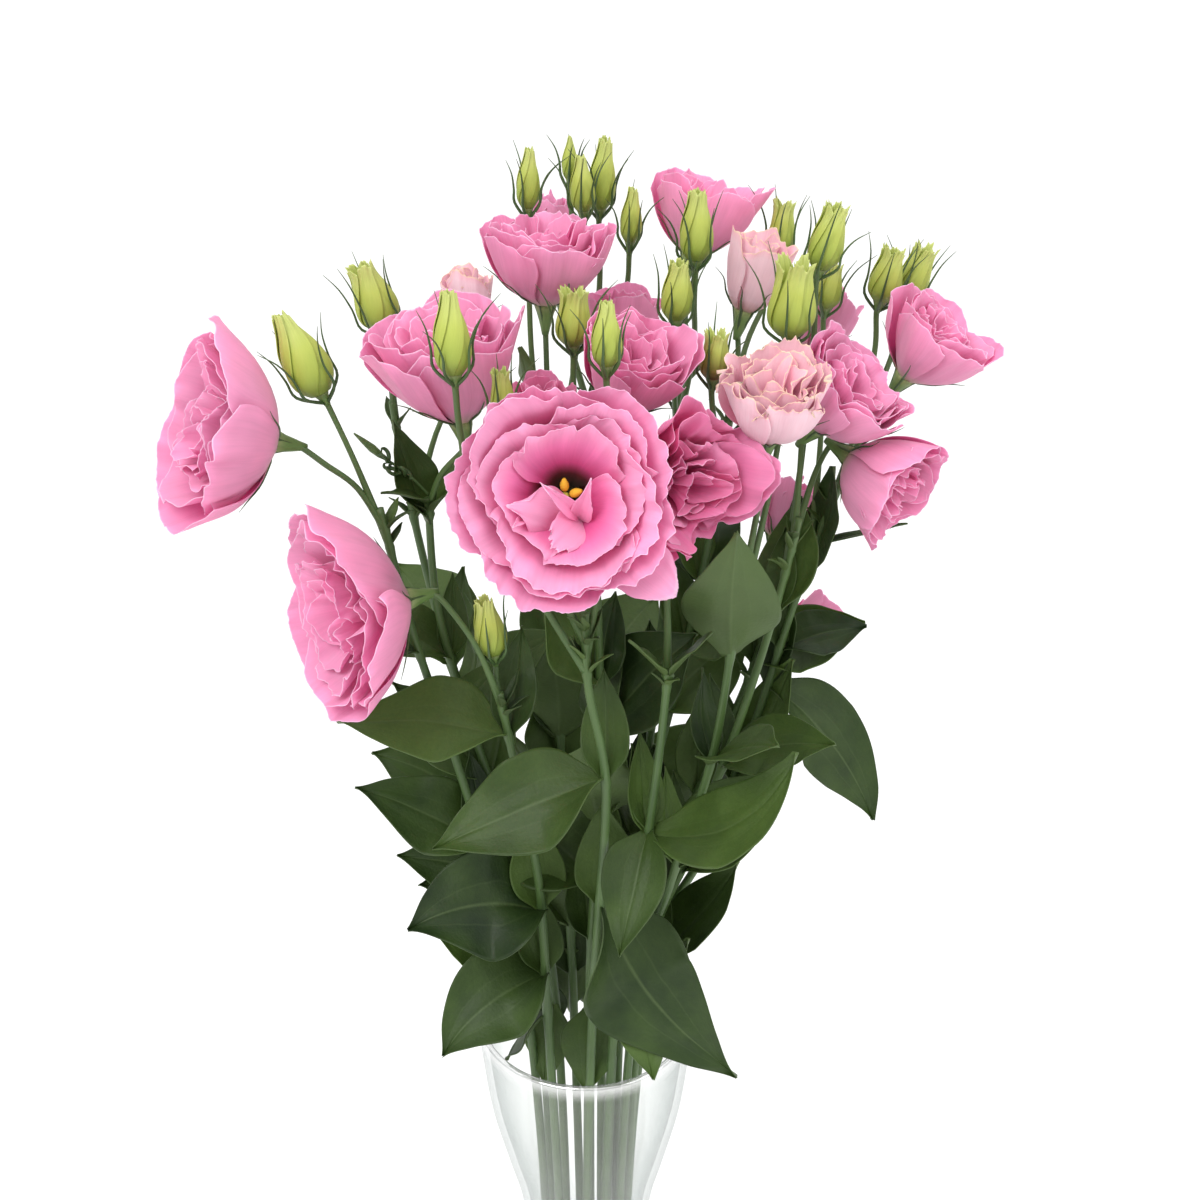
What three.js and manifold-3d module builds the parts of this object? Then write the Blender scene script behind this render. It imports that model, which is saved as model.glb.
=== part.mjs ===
import * as THREE from 'three';
import { mergeVertices } from 'three/addons/utils/BufferGeometryUtils.js';
import Module from 'manifold-3d';

// A bouquet of pink lisianthus standing in a clear glass vase.
// Millimetres, +Z up, the vase stands on z = 0 and the camera side is -Y.

const wasm = await Module();
wasm.setup();
const { Manifold, Mesh } = wasm;

// ---------- driving dimensions ----------
const GAP = 0.3;
const VASE_SIDES = 20;
const VASE_WALL = 3;
const VASE_FLOOR = 12;
const VASE_HEIGHT = 250;
const WATER_LEVEL = 108;
const WAIST_HEIGHT = 120;
const OUTER_RING = 18.5;
const INNER_RING = 9;
const FOOT_SPREAD = 1.35;
const STEM_RADIUS = 2.3;
const STEM_TOP_RADIUS = 1.7;
const STALK_RADIUS = 1.05;
const STEM_SIDES = 5;
const STALK_SIDES = 4;
const CALYX_LENGTH = 5;
const PETAL_THICKNESS = 0.7;
const LEAF_THICKNESS = 0.7;
const LEAF_SEAT = 1;
const LONG_LEAF = 64;
const SEPAL_BLOOM_RADIUS = 15;
const SEPAL_HALF = 0.6;
const BUD_SIDES = 5;

// radius of the vase outside, from the foot to the rim: [height, radius]
const VASE_OUTLINE = [
  [0, 40], [8, 40], [30, 37], [70, 30.8], [118, 26.8],
  [150, 28.8], [178, 35], [208, 41.2], [VASE_HEIGHT, 45.5],
];

// ---------- the open flowers: base, middle of the mouth, mouth radius, kind ----------
const BLOOMS = [
  { name: 'bloom_front', base: [-5, -49, 507], mouth: [-5, -82, 521], radius: 35.5, kind: 'rosette' },
  { name: 'bloom_front_right', base: [22, -26, 504], mouth: [39, -51, 512], radius: 23, kind: 'full' },
  { name: 'bloom_middle', base: [11, -14, 524], mouth: [20, -25, 551], radius: 19, kind: 'cup' },
  { name: 'bloom_half_open', base: [-11, -22, 511], mouth: [-13, -28, 537], radius: 11, kind: 'small' },
  { name: 'bloom_left_upper', base: [-41, -8, 513], mouth: [-47, -11, 552], radius: 27, kind: 'bell' },
  { name: 'bloom_top_left', base: [-13, 20, 547], mouth: [-12, 20, 578], radius: 23, kind: 'cup' },
  { name: 'bloom_back_middle', base: [13, 37, 521], mouth: [16, 40, 549], radius: 14, kind: 'small' },
  { name: 'bloom_top_right', base: [39, 62, 552], mouth: [47, 69, 580], radius: 19.5, kind: 'cup' },
  { name: 'bloom_pale_back', base: [57, 35, 540], mouth: [64, 35, 570], radius: 12.5, kind: 'small' },
  { name: 'bloom_back_right', base: [86, 66, 513], mouth: [97, 74, 539], radius: 11, kind: 'small' },
  { name: 'bloom_pale_cup', base: [62, -23, 515], mouth: [63, -33, 544], radius: 18.5, kind: 'cup', bare: [0, 2] },
  { name: 'bloom_right_upper', base: [80, 1, 510], mouth: [96, -8, 533], radius: 21.5, kind: 'cup' },
  { name: 'bloom_far_right', base: [114, 26, 519], mouth: [129, 20, 544], radius: 20.5, kind: 'cup' },
  { name: 'bloom_right_lower', base: [92, 4, 501], mouth: [113, -14, 491], radius: 19.5, kind: 'cup' },
  { name: 'bloom_far_left', base: [-99, -28, 517], mouth: [-126, -41, 528], radius: 31, kind: 'bell' },
  { name: 'bloom_left_low', base: [-56, -42, 467], mouth: [-85, -61, 468], radius: 35, kind: 'bell' },
  { name: 'bloom_low_right', base: [83, 42, 408], mouth: [99, 52, 414], radius: 10, kind: 'small' },
  { name: 'bloom_hidden_right', base: [73, 33, 452], mouth: [78, 40, 476], radius: 11.5, kind: 'small' },
  { name: 'bloom_pale_left', base: [-43, 55, 526], mouth: [-43, 57, 552], radius: 10, kind: 'small' },
  { name: 'bloom_far_back', base: [-12, 88, 545], mouth: [-13, 92, 571], radius: 9, kind: 'small' },
];

// ---------- the closed buds: base, tip, width ----------
const BUDS = [
  { name: 'bud_far_left', base: [-86, -25, 534], tip: [-98, -25, 561], width: 15 },
  { name: 'bud_left_back', base: [-71, 30, 539], tip: [-79, 30, 562], width: 15 },
  { name: 'bud_left_tall', base: [-39, -55, 551], tip: [-40, -55, 578], width: 11.5 },
  { name: 'bud_left_small', base: [-25, -39, 531], tip: [-26, -39, 547], width: 8, bare: [0] },
  { name: 'bud_middle_back', base: [-3, -5, 544], tip: [-3, -5, 564], width: 12, bare: [1] },
  { name: 'bud_middle_front', base: [8, -53, 553], tip: [8, -53, 574], width: 9.5 },
  { name: 'bud_top_left', base: [-20, 52, 576], tip: [-19, 52, 598], width: 8.5 },
  { name: 'bud_top_tiny', base: [-5, 70, 582], tip: [-5, 70, 598], width: 6 },
  { name: 'bud_top_middle', base: [0, 52, 575], tip: [-1, 52, 595], width: 9 },
  { name: 'bud_top_right', base: [6, 64, 573], tip: [8, 64, 599], width: 10 },
  { name: 'bud_top_dark', base: [17, 59, 562], tip: [18, 59, 582], width: 8 },
  { name: 'bud_right_of_top', base: [39, 20, 566], tip: [39, 20, 591], width: 11.5 },
  { name: 'bud_right_low', base: [32, 10, 548], tip: [33, 10, 569], width: 11 },
  { name: 'bud_back_pale', base: [73, 68, 556], tip: [74, 69, 575], width: 10 },
  { name: 'bud_right_tall', base: [82, 20, 563], tip: [87, 20, 586], width: 12 },
  { name: 'bud_right_wide', base: [70, -1, 546], tip: [71, -1, 573], width: 16 },
  { name: 'bud_brown', base: [44, -11, 534], tip: [45, -11, 551], width: 10 },
  { name: 'bud_far_right', base: [108, 45, 544], tip: [112, 45, 564], width: 12 },
  { name: 'bud_far_right_back', base: [119, 56, 541], tip: [126, 56, 562], width: 12 },
  { name: 'bud_left_low', base: [-31, -38, 443], tip: [-34, -38, 465], width: 11 },
  { name: 'bud_behind_right', base: [89, 50, 540], tip: [91, 50, 557], width: 10 },
];

// ---------- the leafy stems ----------
// ring and angle place the stem in the vase; main lists the points above the waist;
// a branch leaves the main stem at the height "from", passes "via" and ends at a flower;
// a leaf is [height, azimuth, rise at the root, rise at the tip, length, width, fold, twist]
const SPRAYS = [
  {
    name: 'spray_far_left', ring: OUTER_RING, angle: 192,
    main: [[-24, -12, 268], [-35, -16, 328], [-49, -20, 394], [-60, -22, 440], [-69, -25, 492]],
    branches: [
      { from: 484, via: [[-76, -26, 500], [-86, -27, 509]], to: 'bloom_far_left' },
      { from: 478, via: [[-76, -25, 508]], to: 'bud_far_left' },
    ],
    leaves: [
      [280, 190, 55, 20, 48, 28, 15, -35],
      [346, 185, 50, 15, 56, 32, 15, -40],
      [400, 20, 60, 40, 36, 18, 15, 30],
      [434, 200, 30, -20, 36, 16, 15, -30],
    ],
  },
  {
    name: 'spray_left', ring: OUTER_RING, angle: 232,
    main: [[-15, -25, 272], [-17, -31, 338], [-23, -38, 386], [-29, -43, 430]],
    branches: [
      { from: 424, via: [[-36, -44, 448], [-46, -41, 463]], to: 'bloom_left_low' },
      { from: 420, via: [[-30, -40, 432]], to: 'bud_left_low' },
    ],
    leaves: [
      [270, 174, -45, -70, 30, 20, 12, 0],
      [292, 212, 10, -55, 52, 38, 20, -35],
      [326, 200, 35, -25, 54, 44, 12, -50],
      [411, 178, 14, -8, 60, 34, 12, -30],
    ],
  },
  {
    name: 'spray_left_inner', ring: INNER_RING, angle: 185,
    main: [[-14, -1, 276], [-31, -2, 344], [-46, -2, 405], [-54, 0, 444], [-55, -2, 486]],
    branches: [
      { from: 480, via: [[-50, -6, 496]], to: 'bloom_left_upper' },
    ],
    leaves: [
      [316, 176, 25, 0, 54, 34, 15, -45],
      [366, 160, 55, 30, 54, 30, 15, -30],
      [400, -10, 55, 35, 50, 30, 15, 40],
      [420, 180, 45, 15, 46, 24, 15, -30],
      [480, 30, 60, 40, 26, 12, 15, 0],
      [484, 230, 40, 15, 24, 11, 15, 0],
    ],
  },
  {
    name: 'spray_left_back', ring: OUTER_RING, angle: 150,
    main: [[-22, 14, 270], [-38, 23, 340], [-55, 31, 410], [-66, 34, 470], [-70, 31, 510]],
    branches: [
      { from: 500, via: [[-70, 30, 526]], to: 'bud_left_back' },
      { from: 462, via: [[-56, 45, 492], [-45, 53, 512]], to: 'bloom_pale_left' },
    ],
    leaves: [
      [262, 268, -75, -86, 36, 25, 12, 0],
      [290, 205, 45, 20, 54, 42, 15, -50],
      [330, 170, 50, 10, 60, 44, 15, -35],
      [400, 120, 45, 5, 56, 42, 15, -30],
    ],
  },
  {
    name: 'spray_front', ring: OUTER_RING, angle: 268,
    main: [[3, -28, 272], [6, -42, 340], [8, -55, 401], [2, -56, 440], [1, -52, 466]],
    branches: [
      { from: 460, via: [[-3, -41, 488]], to: 'bloom_front' },
      { from: 450, via: [[7, -44, 486], [9, -48, 522]], to: 'bud_middle_front' },
      { from: 445, via: [[-16, -52, 474], [-34, -51, 503], [-38, -53, 530]], to: 'bud_left_tall' },
      { from: 455, via: [[-14, -42, 486], [-23, -40, 510]], to: 'bud_left_small' },
    ],
    leaves: [
      [338, -20, -72, -28, 88, 46, 16, 72],
      [402, 190, -12, -30, 64, 36, 15, -45],
    ],
  },
  {
    name: 'spray_middle', ring: INNER_RING, angle: 270,
    main: [[2, -13, 280], [5, -18, 350], [6, -20, 420], [4, -18, 480]],
    branches: [
      { from: 474, via: [[6, -12, 502]], to: 'bloom_middle' },
      { from: 468, via: [[-4, -19, 492]], to: 'bloom_half_open' },
      { from: 472, via: [[-1, -8, 505], [-3, -5, 528]], to: 'bud_middle_back' },
    ],
    leaves: [
      [300, 371, 70, 55, 58, 42, 15, 55],
      [330, 164, 55, 30, 58, 44, 15, -55],
      [360, 260, 70, 60, 52, 40, 15, 0],
      [400, 350, 60, 45, 56, 40, 15, 50],
      [420, 180, 65, 60, 48, 36, 15, -30],
    ],
  },
  {
    name: 'spray_front_right', ring: OUTER_RING, angle: 294,
    main: [[12, -25, 272], [21, -38, 346], [26, -48, 399], [29, -56, 446]],
    branches: [
      { from: 440, via: [[28, -44, 474], [21, -24, 496]], to: 'bloom_front_right' },
    ],
    leaves: [
      [294, -68, -5, -75, 44, 26, 15, 0],
      [370, -26, 10, 78, 78, 32, 12, 40],
      [372, 250, -30, -70, 46, 25, 20, 0],
      [444, -20, 60, 45, 24, 11, 15, 0],
      [444, 205, 55, 45, 22, 10, 15, 0],
    ],
  },
  {
    name: 'spray_top_left', ring: INNER_RING, angle: 110,
    main: [[-6, 12, 275], [-9, 20, 350], [-12, 26, 430], [-13, 28, 496]],
    branches: [
      { from: 488, via: [[-13, 24, 520]], to: 'bloom_top_left' },
      { from: 476, via: [[-19, 44, 520], [-20, 52, 556]], to: 'bud_top_left' },
      { from: 470, via: [[-4, 44, 516], [0, 51, 552]], to: 'bud_top_middle' },
    ],
    leaves: [
      [286, 262, 74, 66, 58, 44, 12, 0],
      [320, 134, 60, 40, 56, 38, 15, 20],
      [372, 262, 74, 66, 58, 44, 12, 0],
      [440, 350, 55, 40, 52, 40, 15, 40],
    ],
  },
  {
    name: 'spray_back', ring: OUTER_RING, angle: 85,
    main: [[2, 22, 272], [3, 34, 340], [4, 46, 420], [4, 55, 490], [4, 60, 520]],
    branches: [
      { from: 500, via: [[12, 44, 508]], to: 'bloom_back_middle' },
      { from: 512, via: [[-3, 68, 555]], to: 'bud_top_tiny' },
      { from: 514, via: [[6, 64, 548]], to: 'bud_top_right' },
      { from: 508, via: [[15, 60, 540]], to: 'bud_top_dark' },
      { from: 490, via: [[-8, 78, 525]], to: 'bloom_far_back' },
    ],
    leaves: [
      [228, 95, -80, -88, 36, 24, 12, 0],
      [268, 95, -75, -88, 44, 32, 12, 0],
      [270, 100, 55, 20, 48, 28, 15, 0],
      [310, 95, 40, -10, 60, 44, 15, 0],
      [380, 60, 45, 0, 58, 42, 15, 25],
    ],
  },
  {
    name: 'spray_top_right', ring: OUTER_RING, angle: 45,
    main: [[16, 16, 272], [24, 28, 340], [31, 40, 420], [36, 50, 490], [37, 54, 516]],
    branches: [
      { from: 508, via: [[38, 60, 532]], to: 'bloom_top_right' },
      { from: 496, via: [[40, 36, 528], [39, 23, 550]], to: 'bud_right_of_top' },
      { from: 486, via: [[33, 28, 514], [32, 13, 534]], to: 'bud_right_low' },
    ],
    leaves: [
      [330, 40, 45, 0, 58, 42, 15, 30],
      [376, 16, 50, 30, 54, 40, 15, 40],
    ],
  },
  {
    name: 'spray_pale', ring: INNER_RING, angle: 45,
    main: [[9, 12, 278], [24, 21, 340], [40, 29, 410], [50, 33, 470], [54, 35, 508]],
    branches: [
      { from: 500, via: [[56, 35, 524]], to: 'bloom_pale_back' },
      { from: 490, via: [[60, 50, 524], [71, 66, 542]], to: 'bud_back_pale' },
      { from: 470, via: [[66, 52, 490], [80, 62, 503]], to: 'bloom_back_right' },
      { from: 476, via: [[49, 12, 500], [45, -8, 518]], to: 'bud_brown' },
    ],
    leaves: [
      [300, -10, 65, 45, 58, 44, 15, 45],
      [326, 215, 74, 66, 58, 44, 12, 0],
      [410, -30, 50, 30, 54, 40, 15, 45],
      [436, 76, 50, 20, 52, 36, 15, -20],
    ],
  },
  {
    name: 'spray_right_front', ring: OUTER_RING, angle: 320,
    main: [[20, -21, 274], [33, -32, 342], [46, -41, 402], [52, -46, 462]],
    branches: [
      { from: 455, via: [[59, -28, 490]], to: 'bloom_pale_cup' },
      { from: 450, via: [[63, -22, 492], [70, -2, 526]], to: 'bud_right_wide' },
    ],
    leaves: [
      [264, -25, 60, 68, 54, 26, 15, 40],
      [350, 10, 50, 35, 54, 30, 15, 40],
      [400, -60, 50, 20, 48, 26, 15, 20],
      [446, 266, 70, 80, 54, 34, 10, 0],
    ],
  },
  {
    name: 'spray_right', ring: OUTER_RING, angle: 346,
    main: [[24, -7, 274], [41, -10, 340], [58, -12, 400], [69, -12, 446], [76, -10, 482]],
    branches: [
      { from: 474, via: [[76, -4, 495]], to: 'bloom_right_upper' },
      { from: 470, via: [[82, 3, 492]], to: 'bloom_right_lower' },
      { from: 462, via: [[78, 6, 502], [81, 18, 536]], to: 'bud_right_tall' },
    ],
    leaves: [
      [284, -11, 45, 70, 64, 28, 15, 35],
      [330, -8, 45, 60, 60, 30, 15, 35],
      [380, -30, 45, 10, 50, 28, 15, 35],
      [446, 60, 60, 70, 42, 24, 15, 0],
    ],
  },
  {
    name: 'spray_far_right', ring: OUTER_RING, angle: 12,
    main: [[28, 6, 272], [48, 10, 325], [67, 13, 386], [80, 16, 437], [94, 20, 482]],
    branches: [
      { from: 474, via: [[103, 25, 502]], to: 'bloom_far_right' },
      { from: 466, via: [[101, 32, 500], [107, 43, 524]], to: 'bud_far_right' },
      { from: 460, via: [[106, 42, 500], [116, 54, 522]], to: 'bud_far_right_back' },
      { from: 452, via: [[88, 34, 492], [89, 48, 520]], to: 'bud_behind_right' },
    ],
    leaves: [
      [358, -6, 68, 74, 60, 34, 12, 25],
      [400, -12, -28, -78, 72, 33, 12, 45],
      [416, 10, 25, -5, 34, 24, 10, 25],
      [440, -5, 72, 85, 52, 30, 15, 20],
      [458, 0, 25, 5, 34, 6, 10, 0],
    ],
  },
  {
    name: 'spray_low_right', ring: INNER_RING, angle: 350,
    main: [[15, 2, 276], [36, 10, 330], [56, 21, 375], [68, 29, 406], [72, 31, 430]],
    branches: [
      { from: 396, via: [[74, 36, 404]], to: 'bloom_low_right' },
      { from: 424, via: [[72, 31, 440]], to: 'bloom_hidden_right' },
    ],
    leaves: [
      [290, -65, 50, 30, 38, 28, 15, 45],
      [350, 44, 30, -30, 56, 40, 15, 35],
      [402, -8, 40, 10, 46, 34, 15, 30],
    ],
  },
];

// how each kind of flower is filled. For each whorl: the number of petals, its size
// against the flower, its run, its cells, its turn, the radius of the ring that its
// petals rise from, and how high the foot of that ring lies as a part of the depth
const KINDS = {
  rosette: [
    { petals: 5, wide: 1.0, run: 'flared', cells: [3, 3], turn: 0, root: 6.4, foot: 0 },
    { petals: 5, wide: 0.76, run: 'inner', cells: [3, 2], turn: 36, root: 5.0, foot: 0.06 },
    { petals: 4, wide: 0.52, run: 'upright', cells: [2, 2], turn: 10, root: 3.7, foot: 0.09 },
    { petals: 3, wide: 0.28, run: 'low', cells: [2, 2], turn: 50, root: 2.4, foot: 0.13 },
  ],
  full: [
    { petals: 5, wide: 1.0, run: 'flared', cells: [3, 3], turn: 0, root: 4.6, foot: 0 },
    { petals: 5, wide: 0.72, run: 'inner', cells: [3, 2], turn: 36, root: 3.2, foot: 0.06 },
    { petals: 3, wide: 0.42, run: 'upright', cells: [2, 2], turn: 0, root: 2.0, foot: 0.09 },
  ],
  bell: [
    { petals: 5, wide: 1.0, run: 'bell', cells: [3, 3], turn: 0, root: 3.4, foot: 0 },
    { petals: 3, wide: 0.62, run: 'middle', cells: [2, 2], turn: 36, root: 2.0, foot: 0.06 },
  ],
  cup: [
    { petals: 5, wide: 1.0, run: 'bell', cells: [3, 2], turn: 0, root: 3.4, foot: 0 },
    { petals: 3, wide: 0.6, run: 'middle', cells: [2, 2], turn: 36, root: 2.0, foot: 0.06 },
  ],
  small: [
    { petals: 4, wide: 1.0, run: 'bell', cells: [3, 2], turn: 0, root: 3.2, foot: 0 },
  ],
};

// run of a petal from root to lip: [part of the way out, part of the depth]
const RUNS = {
  flared: [[0, 0.11], [0.3, 0.25], [0.6, 0.5], [0.82, 0.8], [1, 0.96]],
  bell: [[0, 0.11], [0.42, 0.26], [0.73, 0.5], [0.9, 0.77], [1, 1]],
  inner: [[0, 0.14], [0.2, 0.32], [0.5, 0.62], [0.78, 0.9], [1, 1.04]],
  upright: [[0, 0.17], [0.14, 0.34], [0.48, 0.62], [0.8, 0.88], [1, 1]],
  middle: [[0, 0.15], [0.14, 0.32], [0.5, 0.55], [0.8, 0.8], [1, 1.02]],
  low: [[0, 0.2], [0.14, 0.32], [0.5, 0.46], [0.8, 0.6], [1, 0.7]],
};

// ---------- small helpers ----------
const V = (p) => new THREE.Vector3(p[0], p[1], p[2]);
const rad = (degrees) => degrees * Math.PI / 180;
const UP = new THREE.Vector3(0, 0, 1);

// smooth curve through a list of points of any dimension, t from 0 to 1
function through(points, t) {
  const last = points.length - 1;
  const at = Math.min(Math.max(t, 0), 1) * last;
  const i = Math.min(Math.floor(at), last - 1);
  const f = at - i;
  const p0 = points[Math.max(i - 1, 0)];
  const p1 = points[i];
  const p2 = points[i + 1];
  const p3 = points[Math.min(i + 2, last)];
  return p1.map((_, k) => {
    const a = 2 * p1[k];
    const b = p2[k] - p0[k];
    const c = 2 * p0[k] - 5 * p1[k] + 4 * p2[k] - p3[k];
    const d = 3 * p1[k] - p0[k] - 3 * p2[k] + p3[k];
    return 0.5 * (a + b * f + c * f * f + d * f * f * f);
  });
}

// closed triangle mesh to a solid
function toSolid(points, triangles) {
  const numbers = new Float32Array(points.flatMap((p) => [p.x, p.y, p.z]));
  const mesh = new Mesh({ numProp: 3, vertProperties: numbers, triVerts: new Uint32Array(triangles) });
  const solid = new Manifold(mesh);
  return solid.volume() < 0 ? new Manifold(flipped(mesh)) : solid;
}

function flipped(mesh) {
  const turned = mesh.triVerts.slice();
  for (let i = 0; i < turned.length; i += 3) {
    turned[i] = mesh.triVerts[i + 1];
    turned[i + 1] = mesh.triVerts[i];
  }
  return new Mesh({ numProp: 3, vertProperties: mesh.vertProperties, triVerts: turned });
}

// rings of points joined into a closed skin; a horn, where the last row of faces
// has one, is drawn out of its face to a point
function skin(rings, horns = []) {
  const points = rings.flat();
  const sides = rings[0].length;
  const last = rings.length - 1;
  const triangles = [];
  for (let i = 0; i < last; i += 1) {
    for (let k = 0; k < sides; k += 1) {
      const a = i * sides + k;
      const b = i * sides + (k + 1) % sides;
      const horn = i + 1 === last ? horns[k] : undefined;
      if (horn) drawOut(points, triangles, [a, b, b + sides, a + sides], horn);
      else triangles.push(a, b, b + sides, a, b + sides, a + sides);
    }
  }
  const end = last * sides;
  for (let k = 1; k + 1 < sides; k += 1) {
    triangles.push(0, k + 1, k, end, end + k, end + k + 1);
  }
  return toSolid(points, triangles);
}

// a four-sided face drawn out through a ring of four points to a tip, its fifth point
function drawOut(points, triangles, face, horn) {
  const start = points.length;
  points.push(...horn);
  for (let j = 0; j < 4; j += 1) {
    const next = (j + 1) % 4;
    triangles.push(face[j], face[next], start + next, face[j], start + next, start + j);
    triangles.push(start + j, start + next, start + 4);
  }
}

// round stalk through the points, with a radius at each point
function tube(points, radii, steps, sides) {
  return skin(tubeRings(points, radii, steps, sides));
}

function tubeRings(points, radii, steps, sides) {
  const rings = [];
  let side = new THREE.Vector3(1, 0, 0);
  for (let i = 0; i <= steps; i += 1) {
    const t = i / steps;
    const centre = V(through(points, t));
    const ahead = V(through(points, Math.min(t + 0.001, 1)));
    const behind = V(through(points, Math.max(t - 0.001, 0)));
    const along = ahead.sub(behind).normalize();
    side = side.addScaledVector(along, -side.dot(along)).normalize();
    const other = new THREE.Vector3().crossVectors(along, side);
    const radius = through(radii.map((r) => [r]), t)[0];
    const ring = [];
    for (let k = 0; k < sides; k += 1) {
      const a = 2 * Math.PI * k / sides;
      const spot = centre.clone();
      spot.addScaledVector(side, radius * Math.cos(a));
      spot.addScaledVector(other, radius * Math.sin(a));
      ring.push(spot);
    }
    rings.push(ring);
  }
  return rings;
}

// grid of a thin blade of even thickness: two faces, rows of points and triangles;
// its root, and for a leaf its tip too, is one cell wide
function sheet(surface, across, along, thickness, pointed) {
  const rows = [];
  const front = [];
  const back = [];
  const e = 0.01;
  for (let j = 0; j <= along; j += 1) {
    const cells = j === 0 || (pointed && j === along) ? 1 : across;
    const row = [];
    for (let i = 0; i <= cells; i += 1) {
      const u = j / along;
      const v = 2 * i / cells - 1;
      const p = surface(u, v);
      const du = surface(Math.min(u + e, 1), v).sub(surface(Math.max(u - e, 0), v));
      const dv = surface(u, Math.min(v + e, 1)).sub(surface(u, Math.max(v - e, -1)));
      const normal = du.cross(dv).normalize().multiplyScalar(thickness / 2);
      row.push(front.length);
      front.push(p.clone().add(normal));
      back.push(p.clone().sub(normal));
    }
    rows.push(row);
  }
  const shift = front.length;
  const triangles = [];
  for (let j = 0; j < along; j += 1) {
    for (const [a, b, c] of strip(rows[j], rows[j + 1])) {
      triangles.push(a, b, c, a + shift, c + shift, b + shift);
    }
  }
  const rim = [];
  for (let j = 0; j <= along; j += 1) rim.push(rows[j][rows[j].length - 1]);
  rim.push(...rows[along].slice(0, -1).reverse());
  for (let j = along - 1; j >= 0; j -= 1) rim.push(rows[j][0]);
  for (let k = 0; k + 1 < rim.length; k += 1) {
    const a = rim[k];
    const b = rim[k + 1];
    triangles.push(a, a + shift, b + shift, a, b + shift, b);
  }
  return { points: front.concat(back), triangles, shift, left: 0, right: 1 };
}

// a blade closed at its root
function blade(surface, across, along, thickness, pointed) {
  const { points, triangles, shift, left, right } = sheet(surface, across, along, thickness, pointed);
  triangles.push(left, left + shift, right + shift, left, right + shift, right);
  return toSolid(points, triangles);
}

// triangles between two rows of a blade, which may have one cell against several
function strip(low, high) {
  const list = [];
  if (low.length === high.length) {
    for (let i = 0; i + 1 < low.length; i += 1) {
      list.push([low[i], low[i + 1], high[i + 1]], [low[i], high[i + 1], high[i]]);
    }
    return list;
  }
  const narrow = low.length < high.length ? low : high;
  const broad = low.length < high.length ? high : low;
  const upward = narrow === low;
  const add = (a, b, c) => list.push(upward ? [a, b, c] : [a, c, b]);
  const middle = Math.floor((broad.length - 1) / 2);
  for (let i = 0; i < middle; i += 1) add(narrow[0], broad[i + 1], broad[i]);
  add(narrow[0], narrow[1], broad[middle]);
  for (let i = middle; i + 1 < broad.length; i += 1) add(narrow[1], broad[i + 1], broad[i]);
  return list;
}

function joined(solids) {
  return Manifold.union(solids);
}

function toMesh(name, solid, colour, roughness, extra) {
  const mesh = solid.getMesh();
  const geometry = new THREE.BufferGeometry();
  geometry.setAttribute('position', new THREE.BufferAttribute(mesh.vertProperties.slice(), 3));
  geometry.setIndex(new THREE.BufferAttribute(mesh.triVerts.slice(), 1));
  const merged = mergeVertices(geometry, 1e-5);
  const flat = merged.toNonIndexed();
  flat.computeVertexNormals();
  const material = new THREE.MeshStandardMaterial({ color: colour, roughness, metalness: 0, ...extra });
  const piece = new THREE.Mesh(flat, material);
  piece.name = name;
  return piece;
}

// ---------- flowers ----------
// places a point given in a flower's own frame, whose z runs from base to mouth
function placer(base, mouth) {
  const start = V(base);
  const axis = V(mouth).sub(start);
  const depth = axis.length();
  axis.normalize();
  const turn = new THREE.Quaternion().setFromUnitVectors(UP, axis);
  const place = (x, y, z) => new THREE.Vector3(x, y, z).applyQuaternion(turn).add(start);
  return { place, axis, depth };
}

// one petal of a whorl; its two edges lie outside and inside the neighbours' edges
function petal(place, flower, whorl, index, depth) {
  const run = RUNS[whorl.run];
  const step = 360 / whorl.petals;
  const halfWidth = step * 0.6;
  const middle = whorl.turn + step * index;
  const mouth = flower.radius * whorl.wide;
  const lap = Math.max(1.5, mouth * 0.068);
  const ruffle = mouth * 0.055;
  const surface = (u, v) => {
    const [way, high] = through(run, u * (1 - 0.06 * v * v * u));
    const spread = 0.45 + 0.55 * Math.min(1, u / 0.75);
    const angle = rad(middle + v * halfWidth * spread);
    const wave = -ruffle * u * u * Math.cos(1.5 * Math.PI * (v + 1));
    const out = whorl.root + way * (mouth - whorl.root) + lap * v * Math.min(1, 2.5 * u) + wave;
    return place(out * Math.cos(angle), out * Math.sin(angle), high * depth + 0.5 * wave);
  };
  return sheet(surface, whorl.cells[0], whorl.cells[1], PETAL_THICKNESS, false);
}

// a whorl of petals that rise from one short solid base
function crown(place, flower, whorl, depth) {
  const points = [];
  const triangles = [];
  const outer = [];
  const inner = [];
  for (let k = 0; k < whorl.petals; k += 1) {
    const one = petal(place, flower, whorl, k, depth);
    const start = points.length;
    points.push(...one.points);
    triangles.push(...one.triangles.map((i) => i + start));
    inner.push(start + one.left, start + one.right);
    outer.push(start + one.left + one.shift, start + one.right + one.shift);
  }
  const count = outer.length;
  const bottom = points.length;
  for (let i = 0; i < count; i += 1) {
    const petalAngle = rad(whorl.turn + 360 / whorl.petals * Math.floor(i / 2));
    const a = petalAngle + rad(360 / whorl.petals * 0.27) * (i % 2 ? 1 : -1);
    points.push(place(whorl.root * Math.cos(a), whorl.root * Math.sin(a), whorl.foot * depth));
  }
  for (let i = 0; i < count; i += 1) {
    const next = (i + 1) % count;
    triangles.push(outer[i], outer[next], bottom + next, outer[i], bottom + next, bottom + i);
    if (i % 2) triangles.push(outer[next], outer[i], inner[i], outer[next], inner[i], inner[next]);
  }
  for (let i = 1; i + 1 < count; i += 1) {
    triangles.push(bottom, bottom + i, bottom + i + 1);
    triangles.push(inner[0], inner[i + 1], inner[i]);
  }
  return toSolid(points, triangles);
}

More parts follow.
